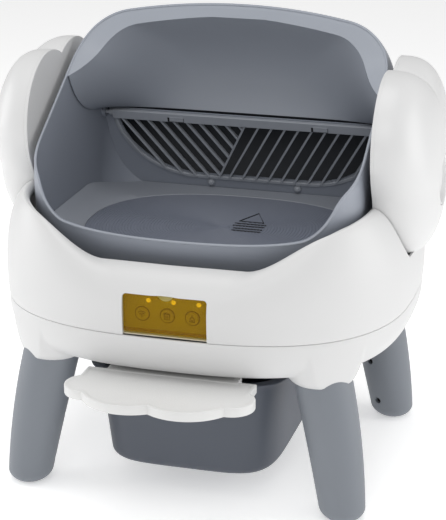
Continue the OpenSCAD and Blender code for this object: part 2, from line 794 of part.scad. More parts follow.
// Step: a cloud of round lobes on a straight neck, with a tongue under the tub
module cloud(inset) {
    union() {
        translate([-step_neck + inset, -step_side[1]])
            square([2 * (step_neck - inset), step_side[1] - step_root - inset]);
        for (sx = [-1, 1]) {
            translate([sx * step_side[0], -step_side[1]]) circle(r = step_side_r - inset);
            translate([sx * step_lobe_x, step_lobe_r - step_reach]) circle(r = step_lobe_r - inset);
        }
    }
}
module step_plate() {
    low = step_z - step_t;
    flat_from = plan_mid - flat_share * plan_b + tread_inset;
    color("white") seat()
        union() {
            difference() {
                translate([0, 0, low]) linear_extrude(step_t) cloud(0);
                translate([0, 0, step_z - tread_lip]) linear_extrude(tread_lip + 1) cloud(tread_inset);
                translate([-step_reach, 1 - step_root, low - 1]) cube([2 * step_reach, step_root, step_t + 2]);
            }
            translate([-tongue_w / 2, -step_root, low]) cube([tongue_w, step_root - step_back, step_t - 1]);
            translate([-tongue_w / 2, flat_from, low]) cube([tongue_w, -step_back - flat_from, base_z - low]);
        }
}
module step_screws() {
    color("dimgray") seat()
        for (x = [-1, 1])
            translate([x * tongue_w / 3, -step_back - 3 * screw_r, step_z - step_t - screw_head])
                cylinder(r = screw_r, h = screw_head);
}

// Bin: a drafted rounded box with a rim flange and a hand dip in front
function bin_rim(p) =
    p[1] < 0 ? bin_top_z - bin_dip * (1 - ease((abs(p[0]) - dip_from) / dip_slope)) : bin_top_z;
module waste_bin() {
    half_w = bin_w / 2;
    half_d = bin_d / 2;
    at = function (t, out) oval(half_w + out, half_d + out, bin_n, t);
    low = bin_floor_z;
    loop = function (out, rise, from_rim)
        [for (i = [0:bin_steps - 1])
            let (t = 360 * i / bin_steps, p = at(t, out))
            [p[0], p[1], (from_rim ? bin_rim(at(t, 0)) : low) + rise]];
    color("dimgray") seat() translate([0, bin_front + half_d + bin_flange, 0])
        stack_solid([
            loop(-bin_taper - bin_round, 0, false), loop(-bin_taper - bin_round / 4, bin_round / 4, false),
            loop(-bin_taper, bin_round, false),
            loop(0, -flange_t, true), loop(bin_flange, -flange_t, true), loop(bin_flange, 0, true),
            loop(-bin_wall, 0, true), loop(-bin_taper - bin_wall, bin_round, false),
            loop(-bin_taper - bin_wall - bin_round / 2, bin_wall, false)]);
}
module bin_rail(side) {
    x = bin_w / 2 + 1;
    drop = bin_top_z - flange_t - fit_gap - rail_t;
    long = bin_d - rail_short;
    front = bin_front + rail_short * 2 / 3;
    color("gainsboro") seat() on_side(side)
        union() {
            translate([x, front, drop]) cube([bin_flange + 1 + rail_t, long, rail_t]);
            translate([x + bin_flange + 1, front, drop]) cube([rail_t, long, base_z - fit_gap - drop]);
        }
}

// Control panel: tray, board, lenses, flap and buttons
function button_x(i) = (i - 1) * button_pitch;
module panel_tray() {
    half = window_w / 2 + flap_side;
    color("ivory") seat()
        difference() {
            translate([-half - tray_wall, tray_front, window_z - 1])
                cube([2 * (half + tray_wall), tray_face + tray_t - tray_front, window_h + 1.5]);
            translate([-half, tray_front - 1, window_z + tray_lip])
                cube([2 * half, tray_face + 1 - tray_front, window_h]);
            for (i = [0:2]) {
                translate([button_x(i), tray_face - 1, button_z])
                    rotate([-90, 0, 0]) cylinder(d = button_d + 2 * fit_gap, h = tray_t + 2);
                translate([button_x(i) + lens_dx, tray_face - 1, lens_z])
                    rotate([-90, 0, 0]) cylinder(d = lens_d, h = tray_t + 2);
            }
            translate([0, flap_axis_y, flap_axis_z])
                rod_x(-half - pin_long, 2 * (half + pin_long), flap_pin_d / 2 + run_gap);
        }
}
module control_board() {
    color("darkgreen") seat()
        translate([board_edge - window_w / 2, tray_face + tray_t, window_z])
            cube([window_w - 2 * board_edge, board_t, window_h - board_edge / 2]);
}
module indicator_lenses() {
    color("orange") seat()
        for (i = [0:2])
            translate([button_x(i) + lens_dx, tray_face - 1, lens_z])
                rotate([-90, 0, 0]) cylinder(d = lens_d - 2 * run_gap, h = tray_t + 1 - run_gap);
}
module panel_flap() {
    color("goldenrod", 0.7) seat()
        union() {
            difference() {
                translate([-window_w / 2, flap_face, flap_low])
                    cube([window_w, flap_t, window_z + window_h - flap_low]);
                translate([0, flap_face - 1, window_z + window_h + thumb_up])
                    rotate([-90, 0, 0]) cylinder(r = thumb_r, h = flap_t + 2);
            }
            for (x = [-window_w / 2, window_w / 2 - lug_w])
                translate([0, flap_axis_y, flap_axis_z]) {
                    rod_x(x, lug_w, lug_r);
                    translate([x, flap_face + flap_t - flap_axis_y - 0.2, flap_low - flap_axis_z])
                        cube([lug_w, flap_axis_y - flap_face - flap_t, flap_axis_z - flap_low + 1]);
                }
            for (side = [-1, 1])
                on_side(side) translate([0, flap_axis_y, flap_axis_z])
                    rod_x(window_w / 2 - lug_w, lug_w + pin_long, flap_pin_d / 2);
        }
}
module panel_button(i) {
    color("ivory") seat()
        translate([button_x(i), tray_face - button_rise, button_z])
            rotate([-90, 0, 0]) cylinder(d = button_d, h = button_rise + button_root);
}
module power_inlet() {
    color("black") seat()
        difference() {
            translate([inlet_at[0], inlet_at[1], base_z - fit_gap - inlet[2]]) cube(inlet);
            translate([inlet_at[0] + inlet[0] / 2, inlet_at[1] + inlet[1] - jack_deep,
                       base_z - fit_gap - inlet[2] / 2])
                rotate([-90, 0, 0]) cylinder(d = jack_d, h = jack_deep + 1);
        }
}

// Drum profile at an inset from the outer skin
function drum_reach(x, inset) =
    let (rc = drum_corner_r - inset, crown = drum_crown_r - inset, ax = abs(x))
    ax <= crown * sin(corner_from) ? crown_base + sqrt(crown * crown - ax * ax)
                                   : corner_y + sqrt(max(rc * rc - pow(ax - corner_x, 2), 0));
function drum_width(r, inset) =
    let (rc = drum_corner_r - inset, crown = drum_crown_r - inset)
    r <= corner_y ? drum_half - inset
    : r <= corner_y + rc * cos(corner_from) ? corner_x + sqrt(max(rc * rc - pow(r - corner_y, 2), 0))
    : sqrt(max(crown * crown - pow(r - crown_base, 2), 0));
module barrel(inset) {
    rc = drum_corner_r - inset;
    crown = drum_crown_r - inset;
    corner = [for (k = [0:corner_steps]) let (a = mix(90, corner_from, k / corner_steps))
        [corner_y + rc * cos(a), corner_x + rc * sin(a)]];
    top = [for (k = [1:crown_steps]) let (a = corner_from * (1 - k / crown_steps))
        [crown_base + crown * cos(a), crown * sin(a)]];
    side = concat([[0, drum_half - inset]], corner, top);
    rotate([0, 90, 0]) rotate_extrude($fn = 96)
        polygon(concat(side, [for (k = [len(side) - 2:-1:0]) [side[k][0], -side[k][1]]]));
}
// The drum's rim in side view, and all that lies above it
function rim_line() = concat(
    [[rim_far, -lip_drop]],
    rounded([rim_far, -lip_drop], [rim_lip_y, -lip_drop], rim_cheek, rim_rounds[0]),
    rounded([rim_lip_y, -lip_drop], rim_cheek, rim_hood, rim_rounds[1]),
    rounded(rim_cheek, rim_hood, rim_top, rim_rounds[2]),
    [rim_top]);
function rim_height(y) =
    let (low = unit(rim_hood - rim_cheek), high = unit(rim_top - rim_hood))
    y < rim_hood[0] ? rim_hood[1] + (y - rim_hood[0]) * low[1] / low[0]
                    : rim_hood[1] + (y - rim_hood[0]) * high[1] / high[0];
module sieve_place() {
    translate([0, hinge_y, hinge_z]) rotate([sieve_lean, 0, 0]) children();
}
module drum_bowl() {
    color("slategray") on_axis()
        difference() {
            union() {
                difference() {
                    intersection() {
                        barrel(0);
                        translate([-room / 2, -room / 2, -floor_drop - wall]) cube(room);
                    }
                    intersection() {
                        barrel(wall);
                        translate([-room / 2, -room / 2, -floor_drop]) cube(room);
                    }
                    along_x(room) polygon(concat(rim_line(), [[rim_far, rim_top[1]]]));
                }
                for (side = [-1, 1])
                    on_side(side) translate([0, hinge_y, hinge_z])
                        rod_x(bed_wall - boss_t, boss_t + 1, pin_boss_r);
            }
            for (side = [-1, 1])
                on_side(side) translate([0, hinge_y, hinge_z])
                    rod_x(bed_wall - 2 * boss_t, 4 * boss_t, sieve_pin_d / 2 + run_gap);
        }
}

// Farthest point from the axis, in plan, inside the drum at a height
function bed_fits(p, z, inset) =
    abs(p[0]) < drum_half - inset
    && norm([p[1], z]) < drum_reach(p[0], inset)
    && p[1] < hinge_y + (hinge_z - z) * tan(sieve_lean) + plate_back / cos(sieve_lean) - fit_gap;
function bed_reach(t, z, inset, low = 100, high = 300, n = 0) =
    let (m = (low + high) / 2)
    n > 14 ? low
    : bed_fits(m * [cos(t), sin(t)], z, inset) ? bed_reach(t, z, inset, m, high, n + 1)
                                               : bed_reach(t, z, inset, low, m, n + 1);
module litter_ring() {
    inset = wall + fit_gap;
    section = function (t)
        let (p = oval(mat_w / 2 + fit_gap, mat_d / 2 + fit_gap, mat_n, t),
             a = atan2(p[1], p[0]), way = [cos(a), sin(a)], near = norm(p),
             top = -floor_drop + mix(ring_h, ring_rear_h, ease(sin(a) * 2 - 0.4)),
             far = min(bed_reach(a, top, inset), bed_reach(a, top - mat_t, inset)),
             foot = bed_reach(a, -floor_drop + fit_gap, inset),
             flat = function (r, z) [r * way[0], r * way[1], z])
        [flat(near, -floor_drop), flat(near, -floor_drop + mat_t), flat(far, top),
         flat(far, top - mat_t), flat(min(near + 2 * mat_t, foot), -floor_drop)];
    color("darkgray") on_axis()
        ring_solid([for (i = [0:ring_steps - 1]) section(360 * i / ring_steps)]);
}
module litter_mat() {
    color("dimgray") on_axis()
        translate([0, 0, -floor_drop])
            linear_extrude(mat_t)
                polygon([for (i = [0:ring_steps - 1]) oval(mat_w / 2, mat_d / 2, mat_n, 360 * i / ring_steps)]);
}

// Sieve outline, hanging from the hinge: straight bar, round corners, flat foot
function sieve_outline(inset) =
    let (a = sieve_half - sieve_flat / 2 - inset, b = sieve_len - inset)
    concat([for (k = [0:12]) [sieve_flat / 2 + a * cos(90 * k / 12), -b * sin(90 * k / 12)]],
           [for (k = [12:-1:0]) [-sieve_flat / 2 - a * cos(90 * k / 12), -b * sin(90 * k / 12)]]);
module slats(side) {
    pitch = (sieve_half - 2 * slat_edge) / slat_count;
    gap = pitch - slat_w;
    for (k = [0:slat_count + 4])
        polygon([for (q = [[0, 0], [gap, 0], [gap - slat_run, -slat_drop], [-slat_run, -slat_drop]])
            [side * (q[0] + slat_edge + pitch * k), q[1]]]);
}
module sieve() {
    color("gray") on_axis() sieve_place()
        union() {
            translate([0, plate_back, 0]) rotate([90, 0, 0])
                linear_extrude(sieve_t)
                    difference() {
                        polygon(sieve_outline(0));
                        intersection() {
                            polygon(sieve_outline(6));
                            translate([-room / 2, -room - bar_r - slat_edge]) square(room);
                            union() {
                                slats(1);
                                difference() {
                                    slats(-1);
                                    polygon([[0, 0], [room, 0], [room, -slat_drop], [-slat_run, -slat_drop]]);
                                }
                            }
                        }
                    }
            rod_x(-sieve_half + 1, 2 * sieve_half - 2, bar_r);
            rod_x(-bed_wall - 1, 2 * bed_wall + 2, sieve_pin_d / 2);
        }
}
module sieve_frame() {
    color("slategray") on_axis()
        intersection() {
            barrel(wall + fit_gap);
            translate([-room / 2, -room / 2, -floor_drop]) cube(room);
            sieve_place() translate([0, plate_back + fit_gap + frame_t, 0]) rotate([90, 0, 0])
                linear_extrude(frame_t)
                    difference() {
                        translate([-room / 2, frame_up - room]) square(room);
                        for (side = [-1, 1])
                            translate([side * bed_wall, 0]) square(2 * (pin_boss_r + 2 * fit_gap), center = true);
                        intersection() {
                            polygon(sieve_outline(frame_lap));
                            translate([-room / 2, -frame_up - room]) square(room);
                        }
                    }
        }
}
module sieve_stops() {
    color("gray") on_axis() sieve_place()
        for (x = [-stop_x, stop_x])
            translate([x, plate_back + fit_gap, -sieve_len - stop_r - 1])
                difference() {
                    sphere(r = stop_r);
                    translate([-stop_r - 1, 0, -stop_r - 1]) cube(2 * stop_r + 2);
                }
}

// Hood guide: columns that run from the hinge bar up to a bevelled band at the rim
guide_t = 2.2;
guide_cols = 40;
guide_rows = 8;
guide_inset = wall + fit_gap + guide_t;
guide_hub = [0, -20, 96];
guide_spread = [206, 16, 24];
guide_end_y = -15;
guide_foot = [hinge_y + 11, hinge_z + 11];
guide_bulge = [182, 122];
guide_wing = [22, 42];
band_w = 24;
band_span = [0.5, 2.1];
band_depth = 5;
function guide_rim(w) =
    let (top = hood_top(guide_inset + 0.5), y = mix(top, guide_end_y, pow(w, 2)),
         z = rim_height(y) - 0.6)
    [drum_width(norm([y, z]), guide_inset), y, z];
function hood_top(inset, low = rim_hood[0], high = drum_r, n = 0) =
    let (m = (low + high) / 2)
    n > 20 ? low
    : norm([m, rim_height(m)]) < drum_r - inset ? hood_top(inset, m, high, n + 1)
                                                : hood_top(inset, low, m, n + 1);
function guide_column(u) =
    let (w = abs(u), s = sign(u), wing = pow(w, 2.5), limit = drum_half - guide_inset,
         rim = guide_rim(w), end = pow(w, 6),
         inward = unit(guide_hub - rim) * band_w * mix(band_span[0], band_span[1], w),
         crease = rim + [inward[0] * (1 - pow(w, 4)), inward[1] + 2, inward[2] - band_depth],
         foot = [min(guide_spread[0] * w + guide_spread[1] * end, limit),
                 guide_foot[0] - guide_spread[2] * end, guide_foot[1]],
         pull = [limit * pow(w, 0.9), mix(guide_bulge[0], guide_wing[0], wing),
                 mix(guide_bulge[1], guide_wing[1], wing)],
         curve = function (k) foot * (1 - k) * (1 - k) + pull * 2 * k * (1 - k) + crease * k * k)
    [for (p = concat([for (k = [0:guide_rows]) curve(k / guide_rows)], [rim])) [s * p[0], p[1], p[2]]];
module hood_guide() {
    front = [for (i = [-guide_cols / 2:guide_cols / 2]) guide_column(i * 2 / guide_cols)];
    n = len(front);
    m = len(front[0]);
    back = [for (i = [0:n - 1]) [for (j = [0:m - 1])
        let (du = front[min(i + 1, n - 1)][j] - front[max(i - 1, 0)][j],
             dv = front[i][min(j + 1, m - 1)] - front[i][max(j - 1, 0)])
        front[i][j] - guide_t * unit(cross(du, dv))]];
    color("gray") on_axis() sheet_solid(front, back);
}

lower_shell();
upper_shell();
pod_plate(-1);  // pod_plate_left
pod_plate(1);  // pod_plate_right
pod_cover(-1);  // pod_cover_left
pod_cover(1);  // pod_cover_right
hub_dish(-1);  // hub_dish_left
hub_dish(1);  // hub_dish_right
pivot_tower(-1);  // pivot_tower_left
pivot_tower(1);  // pivot_tower_right
bush(-1);  // bush_left
bush(1);  // bush_right
gearbox();
drive_motor();
drive_pinion();
leg(-1, -1);  // leg_front_left
leg(1, -1);  // leg_front_right
leg(-1, 1);  // leg_rear_left
leg(1, 1);  // leg_rear_right
foot_pads();
leg_screws();
step_plate();
step_screws();
bin_rail(-1);  // bin_rail_left
bin_rail(1);  // bin_rail_right
waste_bin();
panel_tray();
control_board();
indicator_lenses();
panel_flap();
panel_button(0);  // button_left
panel_button(1);  // button_middle
panel_button(2);  // button_right
power_inlet();
drum_bowl();
hood_guide();
litter_ring();
litter_mat();
sieve_frame();
sieve_stops();
drum_shaft(-1);  // shaft_left
drum_shaft(1);  // shaft_right
shaft_clips();
drive_gear();
sieve();
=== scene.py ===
"""Looks of the self-cleaning litter box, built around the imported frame."""

import math

import bmesh
import bpy
import numpy as np
from mathutils import Matrix, Vector


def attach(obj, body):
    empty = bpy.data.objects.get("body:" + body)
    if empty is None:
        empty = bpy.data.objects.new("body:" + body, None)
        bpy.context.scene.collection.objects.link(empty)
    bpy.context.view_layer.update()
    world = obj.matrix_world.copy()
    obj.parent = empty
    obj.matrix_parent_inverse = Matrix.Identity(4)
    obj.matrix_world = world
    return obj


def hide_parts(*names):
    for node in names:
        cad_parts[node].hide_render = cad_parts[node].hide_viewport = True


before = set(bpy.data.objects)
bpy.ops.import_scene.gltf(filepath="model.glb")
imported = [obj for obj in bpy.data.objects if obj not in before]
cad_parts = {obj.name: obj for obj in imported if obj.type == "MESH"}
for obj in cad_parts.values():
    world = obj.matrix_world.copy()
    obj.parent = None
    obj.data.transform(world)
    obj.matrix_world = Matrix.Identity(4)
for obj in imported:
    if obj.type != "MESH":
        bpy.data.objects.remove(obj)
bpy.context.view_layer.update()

# Sizes in millimetres, about the middle of the feet; the row's origin lies Y_SHIFT in front
Y_SHIFT = 39.5
PLAN_A, PLAN_B, PLAN_MID, PLAN_N = 282.0, 258.0, 2.0, 2.75
BELLY_OUT, REAR_SWELL = 2.0, 9.0
SEAM_Z, BASE_Z, BELLY_Z = 262.0, 205.0, 299.0
RIM_FRONT_Z, RIM_SIDE_Z, RIM_REAR_Z = 350.0, 412.0, 402.0
RIM_A, RIM_B, RIM_N, REAR_N = 234.0, 230.0, 5.0, 4.2
RIM_LIP, WALL = 12.0, 3.0
SOCKET_Z, EDGE_SHARE, FLAT_SHARE, CHUTE_SHARE = 189.0, 0.91, 0.84, 0.46
FOOT, LEG_SPLAY, LEG_RAKE = (225.0, 180.0), 37.0, 15.0
LEG_TOP = (FOOT[0] - LEG_SPLAY, FOOT[1] - LEG_RAKE)
AXIS_Y, AXIS_Z = 22.0, 424.0
DRUM_R, DRUM_HALF, CORNER_R, CROWN_R = 225.0, 226.0, 82.0, 800.0
LIP_DROP, FLOOR_DROP = 48.0, 98.0
CORNER_X = DRUM_HALF - CORNER_R
CROWN_BASE = DRUM_R - CROWN_R
CORNER_Y = CROWN_BASE + math.sqrt((CROWN_R - CORNER_R) ** 2 - CORNER_X ** 2)
CORNER_FROM = math.asin(CORNER_X / (CROWN_R - CORNER_R))
RIM_FAR, RIM_LIP_Y = -260.0, -207.0
RIM_CHEEK, RIM_HOOD, RIM_TOP = (-179.0, 15.0), (43.0, 148.0), (127.0, 258.0)
HINGE_Y, HINGE_Z, SIEVE_LEAN = 130.0, 26.0, math.radians(19)
SIEVE_HALF, SIEVE_LEN, SIEVE_FLAT = 209.0, 111.0, 168.0
PLATE_X, COVER_X, POD_DEPTH, POD_DROP, HUB_R = 236.0, 241.0, 72.0, 90.0, 35.0
FRONT_FACE = PLAN_MID - PLAN_B
WINDOW_Z, WINDOW_H, WINDOW_W, WINDOW_R = 263.5, 56.0, 113.0, 5.0
FLAP_FACE, TRAY_FACE, FLAP_HINGE = -252.0, -241.0, (-247.3, 269.5)
SOCKET_R, SOCKET_RISE, SOCKET_N = 58.0, 60.0, 7
LEG_EDGE_SHARE, LEG_EDGE_R = 0.965, 62.0
LEG_FOOT_R, LEG_TOP_R, LEG_SWELL, PAD_H = 30.0, 39.5, 1.8, 4.0
CORNERS = {"front_left": (-1, -1), "front_right": (1, -1), "rear_left": (-1, 1), "rear_right": (1, 1)}
LOBE_Y, LOBE_Z, LOBE_R = 47.0, 62.0, 92.0
WAIST_R, WAIST_SOFT = 114.0, 10.0
BED_A, BED_B, BED_N, BED_GAP = 196.0, 148.0, 2.4, 0.3
STEP_Z, STEP_T, TONGUE_HALF = 201.0, 13.0, 90.0
SPINE_LEAN, SLAT_FIRST, SLAT_PITCH, SLAT_DROP = 0.497, 22.0, 20.1, 150.0
KEYS, KEY_Z = {"left": -34.0, "middle": 0.0, "right": 34.0}, 289.5
LENS_X, LENS_Z = 8.5, 308.5
MM = 0.001
ROW_AT = np.array((0, Y_SHIFT, 0))
DRUM_AT = np.array((0, Y_SHIFT + AXIS_Y, AXIS_Z))


# Small maths
def spow(v, e):
    return np.sign(v) * np.abs(v) ** e


def ease(k):
    c = np.clip(k, 0, 1)
    return c * c * (3 - 2 * c)


def mix(a, b, k):
    return a + (b - a) * k


def oval(a, b, n, t):
    return np.stack([a * spow(np.cos(t), 2 / n), b * spow(np.sin(t), 2 / n)], -1)


def oval_out(a, b, n, t):
    v = np.stack([spow(np.cos(t), 2 - 2 / n) / a, spow(np.sin(t), 2 - 2 / n) / b], -1)
    return v / np.linalg.norm(v, axis=-1, keepdims=True)


def even_turn(a, b, n, count):
    """Angles that put evenly spaced points on an oval."""
    t = np.linspace(0, 2 * np.pi, 7201)
    p = oval(a, b, n, t)
    s = np.r_[0, np.cumsum(np.linalg.norm(np.diff(p, axis=0), axis=1))]
    return np.interp(np.arange(count) * s[-1] / count, s, t)


def even_line(points, count):
    """The same line as evenly spaced points."""
    p = np.asarray(points, float)
    s = np.r_[0, np.cumsum(np.linalg.norm(np.diff(p, axis=0), axis=1))]
    at = np.linspace(0, s[-1], count)
    return np.stack([np.interp(at, s, p[:, k]) for k in range(p.shape[1])], -1)


def softened(points, rounds=2, closed=False):
    """Corner cutting that turns a coarse profile into a rounded one."""
    p = np.asarray(points, float)
    for _ in range(rounds):
        nxt = np.roll(p, -1, axis=0) if closed else p[1:]
        cur = p if closed else p[:-1]
        cut = np.stack([cur * 0.75 + nxt * 0.25, cur * 0.25 + nxt * 0.75], 1).reshape(-1, p.shape[1])
        p = cut if closed else np.vstack([p[:1], cut, p[-1:]])
    return p


def with_z(xy, z):
    return np.column_stack([xy, np.broadcast_to(z, len(xy))])


def lay(flat, at, axis):
    """A flat outline set at one place along an axis."""
    return np.insert(np.asarray(flat, float), "xyz".index(axis), at, axis=1)


def arc_at(middle, r, start, stop, count):
    a = np.linspace(start, stop, count)
    return np.asarray(middle) + r * np.stack([np.cos(a), np.sin(a)], -1)


def turned(profile, count, axis="x", middle=(0, 0)):
    """Rows of a turned shape, from pairs of radius and place along the axis."""
    ring = arc_at((0, 0), 1, 0, 2 * np.pi, count + 1)[:-1]
    return [lay(r * ring + middle, at, axis) for r, at in profile]


def arched(half, low, high, steps, between=()):
    """An upright outline with round upper corners; between runs along its top, right to left."""
    right = arc_at((half - WINDOW_R, high - WINDOW_R), WINDOW_R, 0, np.pi / 2, steps).tolist()
    return [(half, low)] + right + list(between) + [(-x, z) for x, z in right[::-1]] + [(-half, low)]


def box_line(x0, y0, x1, y1):
    return [(x0, y0), (x1, y0), (x1, y1), (x0, y1)]


# Mesh making
def grid_faces(rows, cols, wrap_rows=False, wrap_cols=True):
    i = np.arange(rows if wrap_rows else rows - 1)
    j = np.arange(cols if wrap_cols else cols - 1)
    i, j = np.meshgrid(i, j, indexing="ij")
    i2, j2 = (i + 1) % rows, (j + 1) % cols
    quads = np.stack([i * cols + j, i * cols + j2, i2 * cols + j2, i2 * cols + j], -1)
    return quads.reshape(-1, 4).tolist()


def faced_out(mesh):
    """Weld a mesh and turn its faces outward."""
    work = bmesh.new()
    work.from_mesh(mesh)
    bmesh.ops.remove_doubles(work, verts=work.verts, dist=2e-6)
    bmesh.ops.dissolve_degenerate(work, edges=work.edges, dist=1e-7)
    bmesh.ops.recalc_face_normals(work, faces=work.faces)
    work.to_mesh(mesh)
    work.free()


def placed(name, data):
    obj = bpy.data.objects.new(name, data)
    bpy.context.scene.collection.objects.link(obj)
    return obj


def discard(obj):
    mesh = obj.data
    bpy.data.objects.remove(obj)
    bpy.data.meshes.remove(mesh)


def mesh_object(name, points, faces, drum=False):
    """An object from points in millimetres, about the drum's axis or the middle of the feet."""
    p = np.asarray(points, float).reshape(-1, 3) + (DRUM_AT if drum else ROW_AT)
    mesh = bpy.data.meshes.new(name)
    mesh.from_pydata((p * MM).tolist(), [], faces)
    faced_out(mesh)
    return placed(name, mesh)


def capped_object(name, rows, drum=False):
    """Rings joined row to row, with a flat face on both ends."""
    n, m = len(rows), len(rows[0])
    faces = grid_faces(n, m) + [list(range(m)), list(range((n - 1) * m, n * m))]
    return mesh_object(name, np.vstack(rows), faces, drum)


def loop_object(name, rows, drum=False, closed=True):
    """Rings joined row to row; closed joins the last row to the first, else both ends get a fan."""
    rows = [np.asarray(r, float) for r in rows]
    n, m = len(rows), len(rows[0])
    points = np.vstack(rows)
    faces = grid_faces(n, m, wrap_rows=closed)
    if not closed:
        points = np.vstack([points, rows[0].mean(0), rows[-1].mean(0)])
        last = n * m
        faces += [[last, (j + 1) % m, j] for j in range(m)]
        faces += [[last + 1, (n - 1) * m + j, (n - 1) * m + (j + 1) % m] for j in range(m)]
    return mesh_object(name, points, faces, drum)


def settle(obj):
    """Turn an object's modifiers into plain mesh."""
    graph = bpy.context.evaluated_depsgraph_get()
    graph.update()
    mesh = bpy.data.meshes.new_from_object(obj.evaluated_get(graph))
    obj.modifiers.clear()
    old, obj.data = obj.data, mesh
    bpy.data.meshes.remove(old)
    return obj


def carve(obj, tools, operation="DIFFERENCE"):
    for tool in tools:
        mod = obj.modifiers.new("carve", "BOOLEAN")
        mod.operation = operation
        mod.solver = "MANIFOLD" if operation == "INTERSECT" else "EXACT"
        mod.object = tool
    settle(obj)
    for tool in tools:
        discard(tool)
    return obj


def show(obj, body, material, stands_for=(), sharp=32):
    """Shade a piece, give it its material, and let it ride its body."""
    mesh = obj.data
    mesh.materials.clear()
    mesh.materials.append(material)
    mesh.polygons.foreach_set("material_index", np.zeros(len(mesh.polygons), np.int32))
    mesh.polygons.foreach_set("use_smooth", np.ones(len(mesh.polygons), bool))
    mesh.set_sharp_from_angle(angle=math.radians(sharp))
    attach(obj, body)
    if stands_for:
        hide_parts(*stands_for)
    return obj


def prism(name, outline, axis, start, end, drum=False):
    return capped_object(name, [lay(outline, at, axis) for at in (start, end)], drum)


def block(name, low, high, drum=False):
    return prism(name, box_line(low[0], low[1], high[0], high[1]), "z", low[2], high[2], drum)


def tube(name, line, radius, closed=False, sides=10, drum=False):
    """A round bead along a line."""
    p = np.asarray(line, float)
    n = len(p)
    step = (np.roll(p, -1, 0) - np.roll(p, 1, 0)) if closed else np.gradient(p, axis=0)
    step /= np.linalg.norm(step, axis=1, keepdims=True)
    side = np.cross(step[0], (0, 0, 1) if abs(step[0][2]) < 0.9 else (0, 1, 0))
    side /= np.linalg.norm(side)
    a = np.linspace(0, 2 * np.pi, sides, endpoint=False)
    rows = []
    for k in range(n):
        side = side - step[k] * (side @ step[k])
        side /= np.linalg.norm(side)
        other = np.cross(step[k], side)
        rows.append(p[k] + radius * (np.cos(a)[:, None] * side + np.sin(a)[:, None] * other))
    if closed:
        rows.append(rows[0])
        points = np.vstack(rows)
        return mesh_object(name, points, grid_faces(n + 1, sides), drum)
    return loop_object(name, rows, drum, closed=False)


def joined(name, objects):
    """Several loose meshes as one piece."""
    work = bmesh.new()
    for obj in objects:
        work.from_mesh(obj.data)
    mesh = bpy.data.meshes.new(name)
    work.to_mesh(mesh)
    work.free()
    for obj in objects:
        discard(obj)
    return placed(name, mesh)


# Shader groups shared by the materials
def put(node, **values):
    """Set a node's inputs by name, with _ for a space."""
    for title, value in values.items():
        node.inputs[title.replace("_", " ")].default_value = value


def nodes(tree, family, kinds):
    return [tree.nodes.new(family + kind) for kind in kinds.split()]


def wire(links, *runs):
    """Link nodes: source, its output, target, its input."""
    for source, out, target, into in runs:
        links.new(source.outputs[out], target.inputs[into])


def new_group(name, inputs, outputs):
    group = bpy.data.node_groups.new(name, "ShaderNodeTree")
    for title, kind, value in inputs:
        s = group.interface.new_socket(title, in_out="INPUT", socket_type="NodeSocket" + kind)
        s.default_value = value
    for title, kind in outputs:
        group.interface.new_socket(title, in_out="OUTPUT", socket_type="NodeSocket" + kind)
    return group, group.links, group.nodes.new("NodeGroupInput"), group.nodes.new("NodeGroupOutput")


def make_grain():
    group, link, given, out = new_group(
        "moulded_grain", [("Scale", "Float", 900.0), ("Strength", "Float", 0.1)], [("Normal", "Vector")])
    where, noise, bump = nodes(group, "ShaderNode", "TexCoord TexNoise Bump")
    put(noise, Detail=3)
    put(bump, Distance=0.0006)
    wire(link, (where, "Object", noise, "Vector"), (given, "Scale", noise, "Scale"),
         (noise, "Fac", bump, "Height"), (given, "Strength", bump, "Strength"),
         (bump, "Normal", out, "Normal"))
    return group


def make_drift():
    group, link, given, out = new_group(
        "shade_drift",
        [("Color", "Color", (0.8, 0.8, 0.8, 1)), ("Amount", "Float", 0.03), ("Roughness", "Float", 0.4)],
        [("Color", "Color"), ("Roughness", "Float")])
    where, noise, span, tint = nodes(group, "ShaderNode", "TexCoord TexNoise MapRange VectorMath")
    sized, lift, rough = nodes(group, "ShaderNode", "Math Math Math")
    put(noise, Scale=7, Detail=2)
    put(span, To_Min=-1)
    tint.operation, lift.operation = "SCALE", "ADD"
    sized.operation = rough.operation = "MULTIPLY"
    lift.inputs[1].default_value = 1
    wire(link, (where, "Object", noise, "Vector"), (noise, "Fac", span, "Value"),
         (span, "Result", sized, 0), (given, "Amount", sized, 1), (sized, 0, lift, 0),
         (given, "Color", tint, 0), (lift, 0, tint, "Scale"), (tint, 0, out, "Color"),
         (given, "Roughness", rough, 0), (lift, 0, rough, 1), (rough, 0, out, "Roughness"))
    return group


GRAIN, DRIFT = make_grain(), make_drift()


def linear(r, g, b):
    """An 8-bit screen colour as linear light."""
    def one(v):
        v /= 255
        return v / 12.92 if v <= 0.04045 else ((v + 0.055) / 1.055) ** 2.4
    return (one(r), one(g), one(b), 1)


def finish_of(name, colour, rough, grain=900, depth=0.08, drift=0.03, metal=0.0):
    mat = bpy.data.materials.new(name)
    mat.use_nodes = True
    shader = mat.node_tree.nodes["Principled BSDF"]
    put(shader, Metallic=metal)
    shade, texture = nodes(mat.node_tree, "ShaderNode", "Group Group")
    shade.node_tree, texture.node_tree = DRIFT, GRAIN
    put(shade, Color=linear(*colour), Amount=drift, Roughness=rough)
    put(texture, Scale=grain, Strength=depth)
    wire(mat.node_tree.links, (shade, "Color", shader, "Base Color"),
         (shade, "Roughness", shader, "Roughness"), (texture, "Normal", shader, "Normal"))
    return mat


def amber_finish():
    """Clear tinted plastic: most light passes, a little scatters, the face reflects."""
    mat = finish_of("amber_clear", (196, 140, 30), 0.18, 600, 0.02, 0.05)
    shader, out = (mat.node_tree.nodes[title] for title in ("Principled BSDF", "Material Output"))
    clear, blend = nodes(mat.node_tree, "ShaderNode", "BsdfTransparent MixShader")
    put(clear, Color=(0.74, 0.7, 0.17, 1))
    blend.inputs[0].default_value = 0.16
    wire(mat.node_tree.links, (clear, 0, blend, 1), (shader, 0, blend, 2), (blend, 0, out, "Surface"))
    return mat


